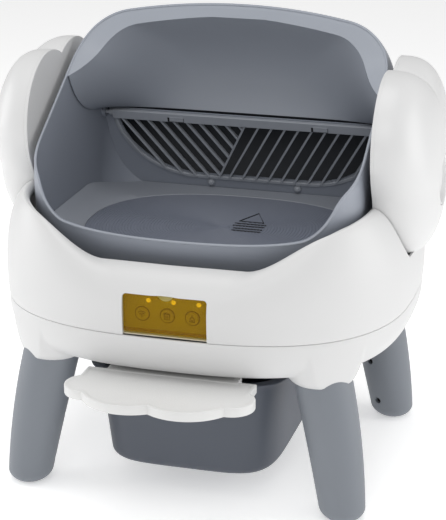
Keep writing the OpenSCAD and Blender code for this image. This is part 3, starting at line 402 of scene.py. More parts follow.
def lens_finish():
    mat = finish_of("lens_orange", (250, 196, 90), 0.15, 600, 0.02, 0.04)
    # Painted glow: the lens emission stands in for the highlights on the indicator dots and for light on the
    # panel
    put(mat.node_tree.nodes["Principled BSDF"], Emission_Color=(1.0, 0.72, 0.25, 1), Emission_Strength=1.2)
    return mat


WHITE = finish_of("shell_white", (207, 207, 207), 0.42, 1100, 0.05, 0.012)
POD = finish_of("pod_white", (209, 209, 209), 0.36, 1100, 0.03, 0.01)
STEP = finish_of("step_white", (214, 214, 213), 0.5, 420, 0.5, 0.015)
DRUM = finish_of("drum_grey", (138, 143, 153), 0.45, 1300, 0.06, 0.03)
HOOD = finish_of("hood_grey", (146, 151, 160), 0.45, 1300, 0.06, 0.02)
RING = finish_of("ring_grey", (146, 150, 158), 0.48, 1300, 0.06, 0.03)
MAT = finish_of("mat_grey", (108, 113, 125), 0.6, 1500, 0.12, 0.05)
SIEVE = finish_of("sieve_grey", (150, 154, 161), 0.45, 1300, 0.05, 0.03)
LEG = finish_of("leg_grey", (116, 121, 128), 0.5, 1200, 0.1, 0.03)
BIN = finish_of("bin_grey", (74, 79, 89), 0.5, 1200, 0.07, 0.04)
BLACK = finish_of("pad_black", (22, 22, 23), 0.75, 1500, 0.2, 0.1)
DARK = finish_of("seam_dark", (34, 36, 40), 0.7, 1500, 0.1, 0.1)
INNER = finish_of("inner_grey", (60, 62, 66), 0.6, 1200, 0.1, 0.05)
NYLON = finish_of("nylon", (222, 217, 203), 0.5, 1200, 0.06, 0.03)
STEEL = finish_of("steel", (178, 178, 178), 0.35, 1500, 0.1, 0.05, metal=1.0)
SCREW = finish_of("black_steel", (30, 30, 32), 0.45, 1500, 0.1, 0.08, metal=0.6)
PANEL = finish_of("panel_white", (222, 214, 196), 0.4, 1100, 0.04, 0.02)
# Painted shade for the drum wall behind the sieve: a darker grey where shade falls
PAINTED_SHADE = finish_of("drum_painted_shade", (48, 51, 57), 0.6, 1300, 0.06, 0.05)
BOARD = finish_of("board_green", (18, 76, 46), 0.4, 900, 0.08, 0.08)
ICON = finish_of("icon_ink", (58, 50, 40), 0.5, 1200, 0.05, 0.05)
AMBER, LENS = amber_finish(), lens_finish()


# Geometry node trees for things that repeat
def geometry_tree(name, inputs):
    tree = bpy.data.node_groups.new(name, "GeometryNodeTree")
    for title, kind in [("Geometry", "Geometry")] + inputs + [("Material", "Material")]:
        tree.interface.new_socket(title, in_out="INPUT", socket_type="NodeSocket" + kind)
    tree.interface.new_socket("Geometry", in_out="OUTPUT", socket_type="NodeSocketGeometry")
    return tree, tree.links, tree.nodes.new("NodeGroupInput")


def finish_tree(tree, given, last, socket):
    """Realize the instances and set the material at the end of a tree."""
    real, coat = nodes(tree, "GeometryNode", "RealizeInstances SetMaterial")
    out = tree.nodes.new("NodeGroupOutput")
    wire(tree.links, (last, socket, real, "Geometry"), (real, "Geometry", coat, "Geometry"),
         (given, "Material", coat, "Material"), (coat, "Geometry", out, "Geometry"))
    return tree


def make_bar_row():
    """A row of round-edged bars, each leaning the same way."""
    tree, link, given = geometry_tree("bar_row", [
        ("Count", "Int"), ("Start", "Vector"), ("Pitch", "Vector"), ("Run", "Vector"), ("Width", "Float"),
        ("Thickness", "Float"), ("Edge", "Float")])
    row, path, section, edge, sweep, place = nodes(
        tree, "GeometryNode",
        "MeshLine CurvePrimitiveLine CurvePrimitiveQuadrilateral FilletCurve CurveToMesh InstanceOnPoints")
    edge.mode = "POLY"
    put(edge, Count=3)
    put(sweep, Fill_Caps=True)
    wire(link, (given, "Count", row, "Count"), (given, "Start", row, "Start Location"),
         (given, "Pitch", row, "Offset"), (given, "Run", path, "End"), (given, "Width", section, "Width"),
         (given, "Thickness", section, "Height"), (section, "Curve", edge, "Curve"),
         (given, "Edge", edge, "Radius"), (path, "Curve", sweep, "Curve"),
         (edge, "Curve", sweep, "Profile Curve"), (row, "Mesh", place, "Points"),
         (sweep, "Mesh", place, "Instance"))
    return finish_tree(tree, given, place, "Instances")


def make_nested_ribs():
    """One closed outline repeated inward as round ribs."""
    sizes = [("Count", "Int"), ("Step", "Float"), ("Radius", "Float")]
    tree, link, given = geometry_tree("nested_ribs", sizes)
    row, index, outline, place, real, ring, sweep = nodes(
        tree, "GeometryNode",
        "MeshLine InputIndex MeshToCurve InstanceOnPoints RealizeInstances CurvePrimitiveCircle CurveToMesh")
    shrink, size, scale = nodes(tree, "ShaderNode", "Math Math CombineXYZ")
    shrink.operation, size.operation = "MULTIPLY", "SUBTRACT"
    size.inputs[0].default_value = 1
    put(row, Offset=(0, 0, 0))
    put(scale, Z=1)
    put(ring, Resolution=6)
    wire(link, (given, "Count", row, "Count"), (index, 0, shrink, 0), (given, "Step", shrink, 1),
         (shrink, 0, size, 1), (size, 0, scale, "X"), (size, 0, scale, "Y"),
         (given, "Geometry", outline, "Mesh"), (row, "Mesh", place, "Points"),
         (outline, "Curve", place, "Instance"), (scale, 0, place, "Scale"),
         (place, "Instances", real, "Geometry"), (given, "Radius", ring, "Radius"),
         (real, "Geometry", sweep, "Curve"), (ring, "Curve", sweep, "Profile Curve"))
    return finish_tree(tree, given, sweep, "Mesh")


def make_placed_copies():
    """Copies of one small part on points, each turned along the point's aim."""
    tree, link, given = geometry_tree("placed_copies", [("Part", "Object")])
    part, aim, place = nodes(tree, "GeometryNode", "ObjectInfo InputNamedAttribute InstanceOnPoints")
    turn = tree.nodes.new("FunctionNodeAlignRotationToVector")
    turn.axis, aim.data_type = "Z", "FLOAT_VECTOR"
    put(aim, Name="aim")
    wire(link, (given, "Part", part, "Object"), (aim, "Attribute", turn, "Vector"),
         (given, "Geometry", place, "Points"), (part, "Geometry", place, "Instance"),
         (turn, "Rotation", place, "Rotation"))
    return finish_tree(tree, given, place, "Instances")


BAR_ROW, NESTED_RIBS, PLACED_COPIES = make_bar_row(), make_nested_ribs(), make_placed_copies()


def grown(obj, tree, **values):
    mod = obj.modifiers.new("grow", "NODES")
    mod.node_group = tree
    for item in tree.interface.items_tree:
        if item.item_type == "SOCKET" and item.in_out == "INPUT" and item.name in values:
            mod[item.identifier] = values[item.name]
    return settle(obj)


def empty_mesh(name, points=(), edges=()):
    mesh = bpy.data.meshes.new(name)
    mesh.from_pydata([tuple(p) for p in points], list(edges), [])
    return placed(name, mesh)


def copies(name, profile, places, material):
    """A turned part, profile (radius, height), set on (point in mm, aim) places."""
    part = loop_object(name + "_shape", turned(profile, 40, "z"), closed=False)
    part.data.transform(Matrix.Translation((0, -Y_SHIFT * MM, 0)))
    obj = empty_mesh(name, [(p + ROW_AT) * MM for p, _ in places])
    aim = obj.data.attributes.new("aim", "FLOAT_VECTOR", "POINT")
    for k, (_, way) in enumerate(places):
        aim.data[k].vector = way
    grown(obj, PLACED_COPIES, Part=part, Material=material)
    discard(part)
    return obj


# Tub
def plan_edge(t):
    deg = np.degrees(t)
    off = np.abs(deg - 90)
    swell = np.where(off < 60, REAR_SWELL * np.sin(np.radians(3 * off)) ** 2, 0)
    return oval(PLAN_A, PLAN_B, PLAN_N, t) + swell[:, None] * oval_out(PLAN_A, PLAN_B, PLAN_N, t)


def underside(p, share):
    """Height of the tub's underside: a bowl with four leg sockets under a rounded outer edge."""
    k = np.clip((share - FLAT_SHARE) / (1 - FLAT_SHARE), 0, 1)
    bowl = BASE_Z + (SEAM_Z - BASE_Z) * (1 - (1 - k ** 2.5) ** 0.4)
    away = np.hypot(np.abs(p[..., 0]) - LEG_TOP[0], np.abs(p[..., 1]) - LEG_TOP[1])
    socket = SOCKET_Z + SOCKET_RISE * (away / SOCKET_R) ** SOCKET_N
    soft = np.minimum(bowl, socket) - 3 * np.log(1 + np.exp(-np.minimum(np.abs(bowl - socket) / 3, 60)))
    start = mix(EDGE_SHARE, LEG_EDGE_SHARE, np.exp(-(away / LEG_EDGE_R) ** 4))
    e = np.clip((share - start) / (1 - start), 0, 1)
    edge = SOCKET_Z + (SEAM_Z - SOCKET_Z) * (1 - np.sqrt(1 - e * e))
    return np.minimum(np.maximum(soft, edge), SEAM_Z)


def plan_share(p):
    return ((np.abs(p[..., 0]) / PLAN_A) ** PLAN_N
            + (np.abs(p[..., 1] - PLAN_MID) / PLAN_B) ** PLAN_N) ** (1 / PLAN_N)


def tub_lower():
    t = even_turn(PLAN_A, PLAN_B, PLAN_N, 560)
    edge = plan_edge(t)
    top = SEAM_Z - 0.2
    turn = np.radians(np.linspace(4, 90, 22))
    shares = np.r_[np.linspace(CHUTE_SHARE, 0.6, 4), np.linspace(0.62, EDGE_SHARE, 24),
                   EDGE_SHARE + (1 - EDGE_SHARE) * np.sin(turn)]
    rows = []
    for s in shares:
        p = edge * s + (0, PLAN_MID)
        rows.append(with_z(p, np.minimum(underside(p, s), top - 0.9)))
    for inset, drop in ((0.25, 0.28), (0.9, 0), (WALL, 0)):
        rows.append(with_z(edge * (1 - inset / PLAN_B) + (0, PLAN_MID), top - drop))
    for s in shares[::-2]:
        p = edge * s + (0, PLAN_MID)
        slim = 1.1 if s > EDGE_SHARE else 0
        z = np.minimum(underside(p, s) + WALL, top - 0.6)
        rows.append(with_z(edge * s * (1 - slim * WALL / PLAN_B) + (0, PLAN_MID), z))
    return show(loop_object("tub_lower", rows), "base", WHITE, ["lower_shell"])


def rim_at(r):
    side = ease((np.abs(r[:, 0]) - 100) / 126)
    rear = ease((r[:, 1] - AXIS_Y) / 60)
    return mix(mix(RIM_FRONT_Z, RIM_SIDE_Z, side), mix(RIM_REAR_Z, RIM_SIDE_Z, side), rear)


def lobe_reach(a):
    along = LOBE_Y * np.abs(np.sin(a)) + LOBE_Z * np.cos(a)
    return along + np.sqrt(np.maximum(LOBE_R ** 2 - LOBE_Y ** 2 - LOBE_Z ** 2 + along ** 2, 0))


def pod_reach(a, notch):
    """Reach of a pod from its hub: two lobes above, a round waist below; notch parts the lobes."""
    deg, lobe = np.abs(np.degrees(a)), lobe_reach(a)
    raw = (lobe + WAIST_R + np.hypot(lobe - WAIST_R, WAIST_SOFT)) / 2
    full = math.hypot(LOBE_Y, LOBE_Z) + LOBE_R
    return np.where(deg < 38, mix(mix(full, raw, 0.35), raw, notch), raw)


def pod_outline(grow, count=240):
    a = np.linspace(-np.pi, np.pi, count, endpoint=False)
    r = pod_reach(a, 1) + grow
    return np.stack([r * np.sin(a), np.maximum(r * np.cos(a), -POD_DROP - grow)], -1)


def tub_upper():
    t = even_turn(PLAN_A, PLAN_B, PLAN_N, 680)
    q = plan_edge(t) + (0, PLAN_MID)
    way = oval_out(PLAN_A, PLAN_B, PLAN_N, t)
    o = q + BELLY_OUT * way
    v = q - (0, PLAN_MID)
    share = (np.abs(v[:, :1]) / RIM_A) ** REAR_N + (np.abs(v[:, 1:]) / RIM_B) ** REAR_N
    toward = v / share ** (1 / REAR_N)
    r = np.where((t < np.pi)[:, None], toward, oval(RIM_A, RIM_B, RIM_N, t)) + (0, AXIS_Y)
    top = rim_at(r)
    gap = ((o - r) * way).sum(1)
    bend = mix(0.2, 0.9, np.clip((gap - 10) / 15, 0, 1))
    reach = np.linalg.norm(o - r, axis=1)
    out = (o - r) / reach[:, None]
    low = SEAM_Z + 0.2
    rows = [with_z(q - 0.9 * way, low), with_z(q - 0.25 * way, low + 0.25)]
    for z in np.linspace(low + 0.9, BELLY_Z, 14):
        rows.append(with_z(q + BELLY_OUT * (1 - ((BELLY_Z - z) / (BELLY_Z - low)) ** 2) * way, z))
    bead = np.minimum(8, 0.3 * reach)
    last = np.arccos((bead / reach) ** (1 / bend))
    for k in np.linspace(0, 1, 34)[1:]:
        a = k * last
        rows.append(with_z(r + (o - r) * (np.cos(a) ** bend)[:, None], BELLY_Z + (top - BELLY_Z) * np.sin(a)))
    crest = BELLY_Z + (top - BELLY_Z) * np.sin(last)
    for turn in np.radians(np.linspace(0, 90, 9)[1:]):
        rows.append(with_z(r + out * (bead * (1 - np.sin(turn)))[:, None], crest - bead * (1 - np.cos(turn))))
    for side, down in ((0, RIM_LIP - 1), (0.4, RIM_LIP), (WALL - 0.4, RIM_LIP), (WALL, RIM_LIP - 1)):
        rows.append(with_z(r + side * way, top - down))
    for a in np.radians(np.linspace(90, 0, 12)):
        rows.append(with_z(mix(r + WALL * way, o - WALL * way, (max(math.cos(a), 0) ** bend)[:, None]),
                           BELLY_Z + (top - BELLY_Z - 4.5) * math.sin(a)))
    rows.append(with_z(q + (0.75 * BELLY_OUT - WALL) * way, 280.6))
    rows.append(with_z(q - WALL * way, low))
    # A thumb dent above the window
    high = WINDOW_Z + WINDOW_H
    for row in rows[:60]:
        w = np.exp(-(row[:, 0] / 13) ** 4 - np.maximum((row[:, 2] - high) / 7.5, 0) ** 2)
        hold = (row[:, 1] < 0) & (row[:, 2] > high - 6)
        row[:, 1] += np.where(hold, 2.6 * w, 0)
    obj = loop_object("tub_upper", rows)
    tools = [prism("pod_seat", pod_outline(1.8), "x", side * 230, side * 330, True) for side in (-1, 1)]
    window = arched(WINDOW_W / 2 + 0.4, SEAM_Z - 2, high + 0.4, 9)
    tools.append(prism("window_cut", window, "y", FRONT_FACE - 12, FRONT_FACE + 25))
    carve(obj, tools)
    return show(obj, "base", WHITE, ["upper_shell"], sharp=34)


# Pods
def pod(side):
    name = "right" if side > 0 else "left"
    a = np.linspace(-np.pi, np.pi, 360, endpoint=False)
    hole = HUB_R + 0.9
    start = np.full_like(a, 0.25)
    for _ in range(12):
        start = hole / pod_reach(a, start ** 3)
    first = np.arcsin(start)

    def dome(k):
        return np.maximum(1 - k ** 2.6, 0) ** (1 / 2.6)

    def point(k, depth, shrink):
        r = pod_reach(a, k ** 3) * k * shrink
        low = -POD_DROP + (WALL if depth < POD_DEPTH else 0)
        return np.stack([COVER_X + depth * dome(k), r * np.sin(a), np.maximum(r * np.cos(a), low)], -1)

    rows = []
    for s in np.linspace(1, 0, 14):
        k = np.sin(mix(first, np.pi / 2, s))
        rows.append(point(k, POD_DEPTH - WALL, 1 - WALL / pod_reach(a, 1)))
    lip = point(start, POD_DEPTH, 1)
    around = np.stack([np.sin(a), np.cos(a)], -1)
    for radius, drop in ((HUB_R + 0.2, 2.2), (HUB_R + 0.2, 1.0), (HUB_R + 0.45, 0.35)):
        rows.append(lay(radius * around, lip[:, 0] - drop, "x"))
    for s in np.linspace(0, 1, 64):
        k = np.sin(mix(first, np.pi / 2, s ** 0.9))
        rows.append(point(k, POD_DEPTH, 1))
    rows = [r * (side, 1, 1) for r in rows]
    cover = loop_object("pod_cover_" + name + "_skin", rows, drum=True)
    show(cover, "base", POD, ["pod_cover_" + name], sharp=40)
    rim, inner, hub = pod_outline(0, 360), pod_outline(-0.8, 360), 29 * around
    rows = [lay(line, at * side, "x") for line, at in (
        (hub, PLATE_X), (inner, PLATE_X), (rim, PLATE_X + 0.8), (rim, COVER_X - 0.1), (hub, COVER_X - 0.1))]
    plate = loop_object("pod_plate_" + name + "_skin", rows, drum=True)
    show(plate, "base", WHITE, ["pod_plate_" + name])
    profile = softened([(0.01, 12), (34.6, 12), (34.6, 5), (34.6, 2), (33.4, 1), (31.5, 1.8), (28.5, 6),
                        (26, 8.6), (22.5, 9), (20.9, 8.6), (20.2, 7.2), (19, 6.5), (12, 6.2), (0.01, 6)])
    rows = turned([(r, side * (COVER_X + POD_DEPTH - down)) for r, down in profile], 120)
    dish = loop_object("hub_dish_" + name + "_skin", rows, drum=True, closed=False)
    show(dish, "base", POD, ["hub_dish_" + name], sharp=45)


# Drum
def drum_reach(x, inset):
    rc, crown, ax = CORNER_R - inset, CROWN_R - inset, np.abs(x)
    on_crown = CROWN_BASE + np.sqrt(np.maximum(crown ** 2 - ax ** 2, 0))
    on_corner = CORNER_Y + np.sqrt(np.maximum(rc ** 2 - (ax - CORNER_X) ** 2, 0))
    return np.where(ax <= crown * math.sin(CORNER_FROM), on_crown, on_corner)


def drum_width(r, inset):
    rc, crown = CORNER_R - inset, CROWN_R - inset
    on_corner = CORNER_X + np.sqrt(np.maximum(rc ** 2 - (r - CORNER_Y) ** 2, 0))
    on_crown = np.sqrt(np.maximum(crown ** 2 - (r - CROWN_BASE) ** 2, 0))
    return np.where(r <= CORNER_Y, DRUM_HALF - inset,
                    np.where(r <= CORNER_Y + rc * math.cos(CORNER_FROM), on_corner, on_crown))


def barrel(name, inset):
    rc, crown = CORNER_R - inset, CROWN_R - inset
    corner = [(CORNER_Y + rc * math.cos(a), CORNER_X + rc * math.sin(a))
              for a in np.linspace(math.pi / 2, CORNER_FROM, 22)]
    crest = [(CROWN_BASE + crown * math.cos(a), crown * math.sin(a))
             for a in np.linspace(CORNER_FROM, 0, 16)[1:]]
    half = [(0.5, DRUM_HALF - inset)] + corner + crest
    profile = half + [(r, -x) for r, x in half[-2::-1]]
    return loop_object(name, turned(profile, 256), drum=True, closed=False)


def rounded(p0, p1, p2, radius, steps=16):
    p0, p1, p2 = (np.asarray(p, float) for p in (p0, p1, p2))
    u, v = (p0 - p1) / np.linalg.norm(p0 - p1), (p2 - p1) / np.linalg.norm(p2 - p1)
    half = math.acos(u @ v) / 2
    mid = (u + v) / np.linalg.norm(u + v)
    c = p1 + mid * radius / math.sin(half)
    a, b = p1 + u * radius / math.tan(half) - c, p1 + v * radius / math.tan(half) - c
    out = [mix(a, b, k / steps) for k in range(steps + 1)]
    return [c + radius * w / np.linalg.norm(w) for w in out]


def rim_line():
    far, lip = (RIM_FAR, -LIP_DROP), (RIM_LIP_Y, -LIP_DROP)
    return np.array([far] + rounded(far, lip, RIM_CHEEK, 22) + rounded(lip, RIM_CHEEK, RIM_HOOD, 40)
                    + rounded(RIM_CHEEK, RIM_HOOD, RIM_TOP, 120) + [RIM_TOP])


def rim_curve(inset, count=420):
    """The drum's rim as a closed line in space, from the front lip up over the hood and back."""
    line = even_line(rim_line(), 24000)
    r = np.hypot(line[:, 0], line[:, 1])
    line, r = line[r < DRUM_R - inset], r[r < DRUM_R - inset]
    half = np.column_stack([drum_width(r, inset), line])
    half = np.vstack([[0, half[0, 1], half[0, 2]], half, [0, half[-1, 1], half[-1, 2]]])
    half = even_line(half, count // 2 + 1)
    return np.vstack([half, (half * (-1, 1, 1))[-2:0:-1]])


def drum():
    wide = 300
    shell = barrel("drum_shell", 0)
    below = block("below_floor", (-wide, -wide, -wide), (wide, wide, -FLOOR_DROP), True)
    hollow = carve(barrel("drum_hollow", WALL), [below])
    above = np.vstack([rim_line(), [(RIM_TOP[0], 400), (RIM_FAR - 40, 400), (RIM_FAR - 40, -LIP_DROP)]])
    carve(shell, [block("below_base", (-wide, -wide, -wide), (wide, wide, -FLOOR_DROP - WALL), True), hollow,
                  prism("over_rim", above, "x", -wide, wide, True)])
    bosses = []
    for side in (-1, 1):
        profile = [(r, side * x) for r, x in ((3.05, 224.5), (8, 224.5), (8, 218.6), (7.4, 218), (3.05, 218))]
        bosses.append(loop_object("pin_boss", turned(profile, 48, "x", (HINGE_Y, HINGE_Z)), True))
    shell = joined("drum_shell", [shell] + bosses)
    show(shell, "drum", DRUM, ["drum_bowl"], sharp=30)
    # Painted shade: faces of the wall behind the sieve get a darker material, standing in for the shade that
    # falls there
    shell.data.materials.append(PAINTED_SHADE)
    for face in shell.data.polygons:
        x, y, z = np.array(face.center) * 1000 - DRUM_AT
        behind = (y - HINGE_Y) * math.cos(SIEVE_LEAN) + (z - HINGE_Z) * math.sin(SIEVE_LEAN)
        if behind > 16 and z < HINGE_Z + 10 and math.hypot(y, z) < drum_reach(x, 2.0):
            face.material_index = 1
    bead = tube("drum_rim_bead", rim_curve(1.5) - (0, 0, 0.9), 1.9, closed=True, sides=12, drum=True)
    # Painted highlight: the rim bead takes the lighter hood grey, standing in for the highlight along the
    # drum's lip
    show(bead, "drum", HOOD, ())


# Hood guide
GUIDE_T, GUIDE_INSET = 2.2, 5.5


def rim_height(y):
    low = (RIM_HOOD[1] - RIM_CHEEK[1]) / (RIM_HOOD[0] - RIM_CHEEK[0])
    high = (RIM_TOP[1] - RIM_HOOD[1]) / (RIM_TOP[0] - RIM_HOOD[0])
    past = y - RIM_HOOD[0]
    return RIM_HOOD[1] + past * low + (past + np.hypot(past, 9)) / 2 * (high - low)


def hood_top(inset):
    low, high = RIM_HOOD[0], DRUM_R
    for _ in range(30):
        m = (low + high) / 2
        inside = math.hypot(m, float(rim_height(np.array(m)))) < DRUM_R - inset
        low, high = (m, high) if inside else (low, m)
    return low


def guide_grid(cols=201, rows=30, band=7):
    u = np.linspace(-1, 1, cols)
    w, s = np.abs(u), np.sign(u)
    wing, end = w ** 2.5, w ** 6
    limit = DRUM_HALF - GUIDE_INSET

    def rim_row(inset):
        y = mix(hood_top(inset + 0.5), -15, w ** 2)
        z = rim_height(y) - 0.6
        return np.stack([drum_width(np.hypot(y, z), inset), y, z], -1)

    rim = rim_row(GUIDE_INSET)
    inward = np.array([0, -20, 96]) - rim
    inward /= np.linalg.norm(inward, axis=1, keepdims=True)
    fade = 1 - w ** 3
    widen = w * w / (w + 0.2)
    crease = rim + inward * (24 * mix(0.5, 2.5, widen) * fade)[:, None] + np.outer(fade, (0, 2, -5))
    foot = np.stack([np.minimum(206 * w + 16 * end, limit), 141 - 24 * end, np.full(cols, 35.0)], -1)
    pull = np.stack([limit * w ** 0.9, mix(182, 22, wing), mix(122, 42, wing)], -1)
    out = []
    for k in np.linspace(0, 1, rows):
        out.append(foot * (1 - k) ** 2 + pull * 2 * k * (1 - k) + crease * k * k)
    for k in np.linspace(0, 1, band)[1:]:
        out.append(mix(crease, rim, k))
    out.append(rim_row(WALL + 0.1))
    grid = np.stack(out)
    grid[..., 0] *= s
    return grid


def sheet_object(name, front, thick):
    """A thin sheet of even thickness behind a grid of points."""
    n, m = front.shape[:2]
    du, dv = np.gradient(front, axis=1), np.gradient(front, axis=0)
    normal = np.cross(du, dv)
    normal /= np.maximum(np.linalg.norm(normal, axis=-1, keepdims=True), 1e-9)
    back = front - thick * normal
    points = np.concatenate([front.reshape(-1, 3), back.reshape(-1, 3)])
    half = n * m
    faces = grid_faces(n, m, False, False)
    faces += [[half + k for k in f[::-1]] for f in faces]
    ring = ([j for j in range(m - 1)] + [i * m + m - 1 for i in range(n - 1)]
            + [(n - 1) * m + j for j in range(m - 1, 0, -1)] + [i * m for i in range(n - 1, 0, -1)])
    for k, a in enumerate(ring):
        b = ring[(k + 1) % len(ring)]
        faces.append([a, half + a, half + b, b])
    return mesh_object(name, points, faces, True)


def hood():
    obj = sheet_object("hood_guide_skin", guide_grid(), GUIDE_T)
    show(obj, "drum", HOOD, ["hood_guide"], sharp=14)


# Litter bed
def bed_reach(a, z, inset):
    low, high = 100.0, 300.0
    for _ in range(22):
        m = (low + high) / 2
        x, y = m * math.cos(a), m * math.sin(a)
        plane = HINGE_Y + (HINGE_Z - z) * math.tan(SIEVE_LEAN) + 5 / math.cos(SIEVE_LEAN) - 0.3
        ok = abs(x) < DRUM_HALF - inset and math.hypot(y, z) < float(drum_reach(x, inset)) and y < plane
        low, high = (m, high) if ok else (low, m)
    return low


def litter_bed():
    floor, inset = -FLOOR_DROP, WALL + BED_GAP
    a, b = BED_A + BED_GAP, BED_B + BED_GAP
    rows = [[] for _ in range(9)]
    for p in oval(a, b, BED_N, even_turn(a, b, BED_N, 300)):
        turn, r0 = math.atan2(p[1], p[0]), float(np.hypot(*p))
        top = floor + mix(32, 6, float(ease(math.sin(turn) * 2 - 0.4)))
        far = min(bed_reach(turn, top, inset), bed_reach(turn, top - 3, inset))
        foot = bed_reach(turn, floor + BED_GAP, inset)
        section = [(r0, floor), (r0, floor + 2.2), (r0 + 0.8, floor + 3),
                   (mix(r0, far, 0.35), mix(floor + 3, top, 0.24)),
                   (mix(r0, far, 0.7), mix(floor + 3, top, 0.6)), (far - 0.6, top), (far, top - 0.8),
                   (far, top - 3), (min(r0 + 6, foot), floor)]
        for row, (r, z) in zip(rows, section):
            row.append((r * math.cos(turn), r * math.sin(turn), z))
    show(loop_object("litter_ring_skin", rows, True), "drum", RING, ["litter_ring"], sharp=40)
    edge = oval(BED_A, BED_B, BED_N, even_turn(BED_A, BED_B, BED_N, 300))
    rows = [with_z(edge * (1 - inset / BED_B), floor + up)
            for inset, up in ((0, 0), (0, 1.4), (0.6, 2.0), (60, 2.0), (120, 2.0), (146, 2.0))]
    slab = loop_object("litter_mat_skin", rows, True, closed=False)
    show(slab, "drum", MAT, ["litter_mat"])
    loop = [(j, (j + 1) % 300) for j in range(300)]
    ribs = empty_mesh("litter_mat_ribs", with_z(edge * 0.985, 0) * MM, loop)
    grown(ribs, NESTED_RIBS, Count=42, Step=0.0232, Radius=0.0009, Material=MAT)
    ribs.data.transform(Matrix.Translation(Vector((DRUM_AT + (0, 0, floor + 1.9)) * MM)))
    show(ribs, "drum", MAT, (), sharp=80)
    # Level mark: a triangle over plain lines
    lines = [[(16, 30), (34, 72), (52, 30), (16, 30)]]
    lines += [[(12 + (y < 5) * 4, y), (58, y)] for y in (20, 10, -2, -12)]
    marks = [tube("mark", lay(line, floor + 2.9, "z"), 0.9, sides=6, drum=True) for line in lines]
    show(joined("level_mark", marks), "drum", DARK, ())


# Sieve
def to_sieve(points):
    """Sieve plate coordinates (x, depth, height) to drum coordinates."""
    p = np.asarray(points, float)
    c, s = math.cos(SIEVE_LEAN), math.sin(SIEVE_LEAN)
    return np.stack([p[..., 0], HINGE_Y + p[..., 1] * c - p[..., 2] * s,
                     HINGE_Z + p[..., 1] * s + p[..., 2] * c], -1)


def sieve_outline(inset, count=40):
    a, b = SIEVE_HALF - SIEVE_FLAT / 2 - inset, SIEVE_LEN - inset
    k = np.radians(np.linspace(0, 90, count))
    right = np.stack([SIEVE_FLAT / 2 + a * np.cos(k), -b * np.sin(k)], -1)
    return np.vstack([right, (right * (-1, 1))[::-1]])


def sieve_rows(outline, near, far):
    """A shape in the sieve's plane, from one depth to another."""
    return [to_sieve(lay(outline, depth, "y")) for depth in (near, far)]


def sieve():
    outer, inner = sieve_outline(0), sieve_outline(6)
    section = ((outer, 3.2), (sieve_outline(1), 2), (sieve_outline(5), 2), (inner, 3), (inner, 5), (outer, 5))
    rows = [to_sieve(lay(line, depth, "y")) for line, depth in section]
    n, m = len(rows), len(outer)
    faces = grid_faces(n, m, True, False)
    faces += [[k * m for k in range(n)], [k * m + m - 1 for k in range(n - 1, -1, -1)]]
    rim = mesh_object("sieve_rim", np.vstack(rows), faces, True)
    header = []
    for x, trim in ((-208, 0.9), (-207.2, 0), (207.2, 0), (208, 0.9)):
        front, back, top, low = -3.4 + trim, 4.6 - trim, 5.6 - trim, -9.4 + trim
        box = [(front, low + 0.8), (front, top - 1), (-2.2, top), (1.4, top), (3.4, top - 2.2), (back, 0.6),
               (back, low), (-1.6, low)]
        header.append(to_sieve(lay(box, x, "x")))
    bar = loop_object("sieve_header", header, True, closed=False)
    pins = []
    for side in (-1, 1):
        profile = [(r, side * x) for r, x in ((5, 207), (5, 212), (3, 212.4), (3, 223.4), (2.6, 223.9))]
        rows = [to_sieve(row) for row in turned(profile, 40)]
        pins.append(loop_object("sieve_pin", rows, True, closed=False))
    show(joined("sieve_plate", [rim, bar] + pins), "sieve", SIEVE, ["sieve"], sharp=35)
    hinge = Vector((DRUM_AT + (0, HINGE_Y, HINGE_Z)) * MM)
    place = Matrix.Translation(hinge) @ Matrix.Rotation(SIEVE_LEAN, 4, "X")
    field = [(x, min(z, -6)) for x, z in sieve_outline(4)]
    west = [(-260, -5), (-1, -5), (-1 - SPINE_LEAN * 130, -135), (-260, -135)]
    sets = (("right", 14, 1, -0.557), ("left", 13, -1, 0.695), ("spine", 1, 0, -SPINE_LEAN))
    for name, count, way, lean in sets:
        row = empty_mesh("sieve_slats_" + name)
        grown(row, BAR_ROW, Count=count, Start=(way * SLAT_FIRST * MM, 0.0035, 0),
              Pitch=(way * SLAT_PITCH * MM, 0, 0), Run=(lean * SLAT_DROP * MM, 0, -SLAT_DROP * MM),
              Width=0.0062, Thickness=0.003, Edge=0.0008, Material=SIEVE)
        row.data.transform(place)
        faced_out(row.data)
        tools = [capped_object("slat_field", sieve_rows(field, -4, 12), True)]
        if name == "left":
            tools.append(capped_object("slat_half", sieve_rows(west, -5, 13), True))
        carve(row, tools, "INTERSECT")
        show(row, "sieve", SIEVE, (), sharp=40)
    # Painted shadow: each black notch plate behind a clip stands in for the shade in the slot above the
    # sieve's header
    clips, clip_shadow_plates = [], []
    for x in (-109, 109):
        clip, notch = box_line(x - 9, -6.4, x + 12, 0.4), box_line(x - 12.5, -8, x + 12.5, -1)
        clips.append(loop_object("clip", sieve_rows(clip, -5.2, -3.2), True, closed=False))
        clip_shadow_plates.append(loop_object("notch", sieve_rows(notch, -3.9, -3.2), True, closed=False))
    show(joined("sieve_clips", clips), "sieve", SIEVE, ())
    show(joined("sieve_clip_notches", clip_shadow_plates), "sieve", BLACK, ())


# Legs
def leg_axis(z):
    k = np.clip(z / BASE_Z, 0, 1)
    return np.stack([FOOT[0] - LEG_SPLAY * (k + 0.35 * k * (k - 1)), FOOT[1] - LEG_RAKE * k], -1)


def leg_radius(z):
    k, tip = np.clip(z / BASE_Z, 0, 1), np.clip((z - PAD_H) / 14, 0, 1)
    return mix(LEG_FOOT_R, LEG_TOP_R, 1 - (1 - k) ** LEG_SWELL) * np.sqrt(1 - 0.5 * (1 - tip) ** 2)


